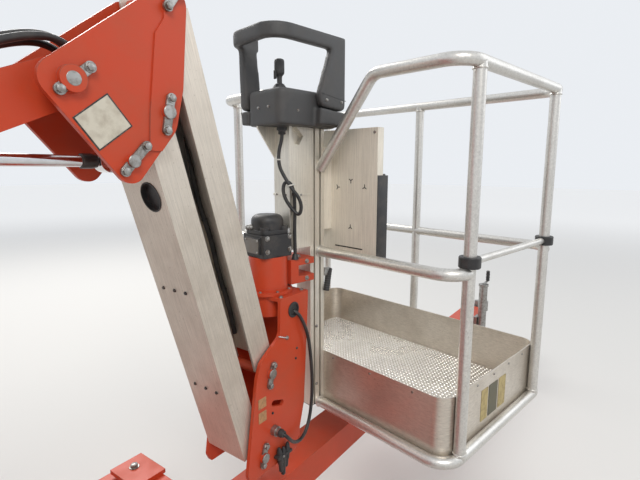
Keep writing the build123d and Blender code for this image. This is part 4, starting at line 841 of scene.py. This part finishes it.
boot = [(6.3, 20), (8.5, 18), (12, 4), (13.5, 0), (6.3, 0)]
piece("cable_boot", "platform", black_rubber, [turned(boot, (0.078, -0.051, 1.2055), UP, 24, True, PLATFORM)])

# Panel: a folded sheet of aluminium behind the mast, painted lighter, warmer and less metallic than
# the other aluminium as painted sunlight on it. Dark flat marks on its face are painted shade for
# small three-armed slots and a long one, which are not cut. A black housing is screwed to its back,
# and wraps round its right flange.
# Lighter, warmer and less metallic than the mast's aluminium: painted sunlight on the panel.
panel_aluminium_painted_sunlight = grained(
    "panel_aluminium_painted_sunlight", (36, 36, 0.8), (0.84, 0.79, 0.69), (0.4, 0.34, 0.26), 0.22, 0.42, 0.12, 0.35)
paint(panel_aluminium_painted_sunlight, "panel")
PANEL_FACE, SLOT_FACE = 0.2731, 0.2726
# The slots are not cut: dark flat marks on the panel's face stand for them, as painted shade of the openings.
marks = []
for y, z, first in ((-0.064, 1.45, 60), (-0.129, 1.475, 30), (-0.194, 1.453, 90), (-0.129, 1.307, 90)):
    for turn in (first, first + 120, first + 240):
        tip = (y + 0.009 * cos(radians(turn)), z + 0.009 * sin(radians(turn)))
        marks.append(stadium((y, z), tip, 0.0017))
marks.append(stadium((-0.054, 1.233), (-0.186, 1.233), 0.0024))
piece("panel_slot_shade", "platform", sign_dark, [slab(mark, SLOT_FACE, PANEL_FACE, FLAT) for mark in marks])
flank = [(0.274, -0.252), (0.329, -0.252), (0.329, -0.245), (0.3034, -0.245), (0.3034, -0.2503),
         (0.274, -0.2503)]
piece("panel_flank", "platform", cast_black, [slab(flank, 1.192, 1.495, PLATFORM)], edge=0.0005)
bolts("panel_screws", "platform",
      [((0.2729, y, z), (-1, 0, 0), 0.004) for y in (-0.235, 0.235) for z in (1.21, 1.638)],
      corners=14, place=PLATFORM)

# Platform: welded rails of round aluminium tube with a bead at each joint, a folded toe board
# and a floor of raised-pattern plate, whose lozenges are painted lighter than the sheet as painted
# light on their tops. The gate bar slides up its posts on rubber rings.
tube_aluminium = grained(
    "tube_aluminium", (16, 16, 16), (0.68, 0.665, 0.63), (0.26, 0.22, 0.18), 0.3, 0.24, 0.1, 0.85)
sheet_aluminium = grained(
    "sheet_aluminium", (5, 5, 30), (0.68, 0.625, 0.55), (0.28, 0.22, 0.16), 0.4, 0.24, 0.1, 0.85)
# Lighter than the floor sheet the lozenges stand on: painted light on their raised tops, against the shaded
# gaps.
tread_aluminium_painted_light = grained(
    "tread_aluminium_painted_light", (12, 12, 12), (0.84, 0.82, 0.78), (0.26, 0.22, 0.18), 0.25, 0.16, 0.1, 0.85)
sign_yellow = weathered(
    "sign_yellow", (0.44, 0.34, 0.13), (0.3, 0.24, 0.14), (0.22, 0.16, 0.08),
    (0.8, 0.7, 0.4, 60, 300), 0.05)
sign_olive = weathered(
    "sign_olive", (0.085, 0.08, 0.045), (0.3, 0.24, 0.14), (0.2, 0.17, 0.11),
    (0.6, 0.7, 0.42, 60, 300), 0.05)
paint(tube_aluminium, "rail_lower", "rail_middle", "rail_upper", "rail_posts", "gate_bar")
paint(sheet_aluminium, "platform_floor")
bead = [(18.8, -3.5), (21.2, -3), (22.6, 0), (21.2, 3), (18.8, 3.5)]
posts = ((0.282, -0.597), (0.282, 0.597), (0.862, -0.597), (0.862, 0.597), (0.935, 0.04))
beads = [turned(bead, (x, y, z), UP, 24, True, PLATFORM) for x, y in posts for z in (0.6405, 1.7895)]
beads += [turned(bead, (0.209, side * 0.0392, z), (0, 1, 0), 24, True, PLATFORM)
          for side in (-1, 1) for z in (0.62, 1.216)]
piece("weld_beads", "platform", tube_aluminium, beads)
ring = [(31.1, -15), (19.2, -15.5), (19.2, -16.5), (30.5, -16.8), (32.6, -14),
        (32.6, 14), (30.5, 16.8), (19.2, 16.5), (19.2, 15.5), (31.1, 15)]
piece("gate_rings", "gate_bar", black_rubber, [
    turned(ring, (x, -0.597, 1.2503), UP, 32, True, PLATFORM) for x in (0.282, 0.862)])

pattern, given, made = new_group("raised_pattern", "GeometryNodeTree", {
    "Lozenge": "Geometry", "Long": "Float", "Wide": "Float", "Rows": "Int", "Columns": "Int",
    "Turn": "Float", "Finish": "Material"}, {"Plate": "Geometry"})
net = wire(pattern, "GeometryNodeMeshGrid", {
    "Size X": given["Wide"], "Size Y": given["Long"], "Vertices X": given["Columns"],
    "Vertices Y": given["Rows"]})
turn = turn_by(pattern, "Z", given["Turn"])
repeated(pattern, given, made, Points=net, Instance=given["Lozenge"], Rotation=turn)
foot, top = -0.0002, 0.0026
lozenge = [(-0.0068, 0, foot), (0.0068, 0, foot), (0, -0.0031, foot), (0, 0.0031, foot),
           (-0.003, 0, top), (0.003, 0, top), (0, -0.001, top), (0, 0.001, top)]
sheets = []
for shift, turn in ((-0.00445, 45), (0.00445, -45)):
    sheet = grow("pattern", hulls("lozenge", [lozenge]), pattern, {
        "Long": 1.104, "Wide": 0.64, "Rows": 63, "Columns": 37, "Turn": radians(turn),
        "Finish": tread_aluminium_painted_light})
    sheet.transform(PLATFORM @ Matrix.Translation((0.572 + shift, shift, 0.6421)))
    sheets.append(sheet)
piece("floor_pattern", "platform", tread_aluminium_painted_light, sheets)
for name, low, high, finish in (("left", 0.452, 0.5, sign_yellow), ("middle", 0.508, 0.574, sign_olive),
                                ("right", 0.584, 0.64, sign_yellow)):
    plate = slab(rounded((low, 0.662), (high, 0.776), 0.003), -0.5788, -0.5778, FRONT)
    piece(f"toe_board_plate_{name}", "platform", finish, [plate])
bolts("toe_board_rivets", "platform",
      [((x, -0.5779, 0.808), (0, -1, 0), 0.0032) for x in (0.3, 0.42, 0.54, 0.66, 0.78, 0.85)]
      + [((0.2282, y, 0.808), (-1, 0, 0), 0.0032) for y in (-0.45, -0.27, -0.09, 0.09, 0.27, 0.45)],
      corners=12, place=PLATFORM)

# Studio: a pale floor under the machine, large soft lamps and an even sky. The camera stands
# beside the boom's front end and looks past the knuckle at the platform.
scene.view_settings.view_transform = "Standard"
eye_point = Vector((-0.375, -1.03, 1.5175))
heading, pitch, roll = radians(34.74), radians(-8.96), radians(-0.37)
ahead = Vector((cos(heading) * cos(pitch), sin(heading) * cos(pitch), sin(pitch)))
right = ahead.cross(Vector((0, 0, 1))).normalized()
lean = Matrix.Rotation(roll, 3, ahead)
up = lean @ right.cross(ahead)
right = lean @ right
camera_data = bpy.data.cameras.new("camera")
camera_data.sensor_width = 36
camera_data.lens = 24.66
camera_data.shift_x = -0.0257
camera_data.shift_y = -0.0039
camera_data.clip_start = 0.02
camera = linked("camera", camera_data)
camera.matrix_world = Matrix.Translation(eye_point) @ Matrix((right, up, -ahead)).transposed().to_4x4()
scene.camera = camera


def seen_directly(tree):
    """Socket that is 1 for rays from the camera and those that mirrors and glass send on, else 0."""
    path = add_node(tree, "ShaderNodeLightPath").outputs
    seen = path["Is Camera Ray"]
    for ray in ("Is Glossy Ray", "Is Transmission Ray"):
        seen = calc(tree, "MAXIMUM", seen, path[ray])
    return seen


world = bpy.data.worlds.new("sky")
world.use_nodes = True
sky = world.node_tree
background = sky.nodes["Background"].inputs
background["Color"].default_value = (0.9, 0.93, 0.97, 1)
sky.links.new(spread(sky, seen_directly(sky), 0, 1, 0.55, 0.92), background["Strength"])
scene.world = world


def lamp(name, place, target, size, watts, colour):
    """Large square area lamp aimed at a point."""
    data = bpy.data.lights.new(name, "AREA")
    data.size = size
    data.energy = watts
    data.color = colour
    holder = linked(name, data)
    holder.location = place
    holder.rotation_euler = (Vector(target) - Vector(place)).to_track_quat("-Z", "Y").to_euler()


lamp("lamp_key", (-3.5, -5, 6.5), (0.3, 0, 1), 3, 300, (1, 0.96, 0.91))
lamp("lamp_fill", (5, -4.5, 4.5), (0.5, 0, 1), 5, 90, (0.95, 0.97, 1))
lamp("lamp_back", (2.5, 5.5, 6), (0, 0, 1), 3.5, 330, (1, 0.98, 0.95))

ground = bpy.data.meshes.new("floor")
ground.from_pydata([(-40, -40, 0), (40, -40, 0), (40, 40, 0), (-40, 40, 0)], [], [(0, 1, 2, 3)])
floor = linked("floor", ground)
floor_finish = bpy.data.materials.new("floor_finish")
floor_finish.use_nodes = True
floor_tree = floor_finish.node_tree
floor_shader = floor_tree.nodes["Principled BSDF"].inputs
spot = wire(floor_tree, "ShaderNodeTexCoord", pick="Object")
reach = wire(floor_tree, "ShaderNodeVectorMath", {0: spot}, "Value", operation="LENGTH")
far = spread(floor_tree, reach, 3, 16, 0, 0.46, interpolation_type="SMOOTHSTEP")
glow = calc(floor_tree, "MULTIPLY", far, seen_directly(floor_tree))
floor_tree.links.new(glow, floor_shader["Emission Strength"])
floor_shader["Base Color"].default_value = (0.72, 0.71, 0.69, 1)
floor_shader["Emission Color"].default_value = (0.93, 0.95, 0.98, 1)
floor_shader["Roughness"].default_value = 0.9
ground.materials.append(floor_finish)
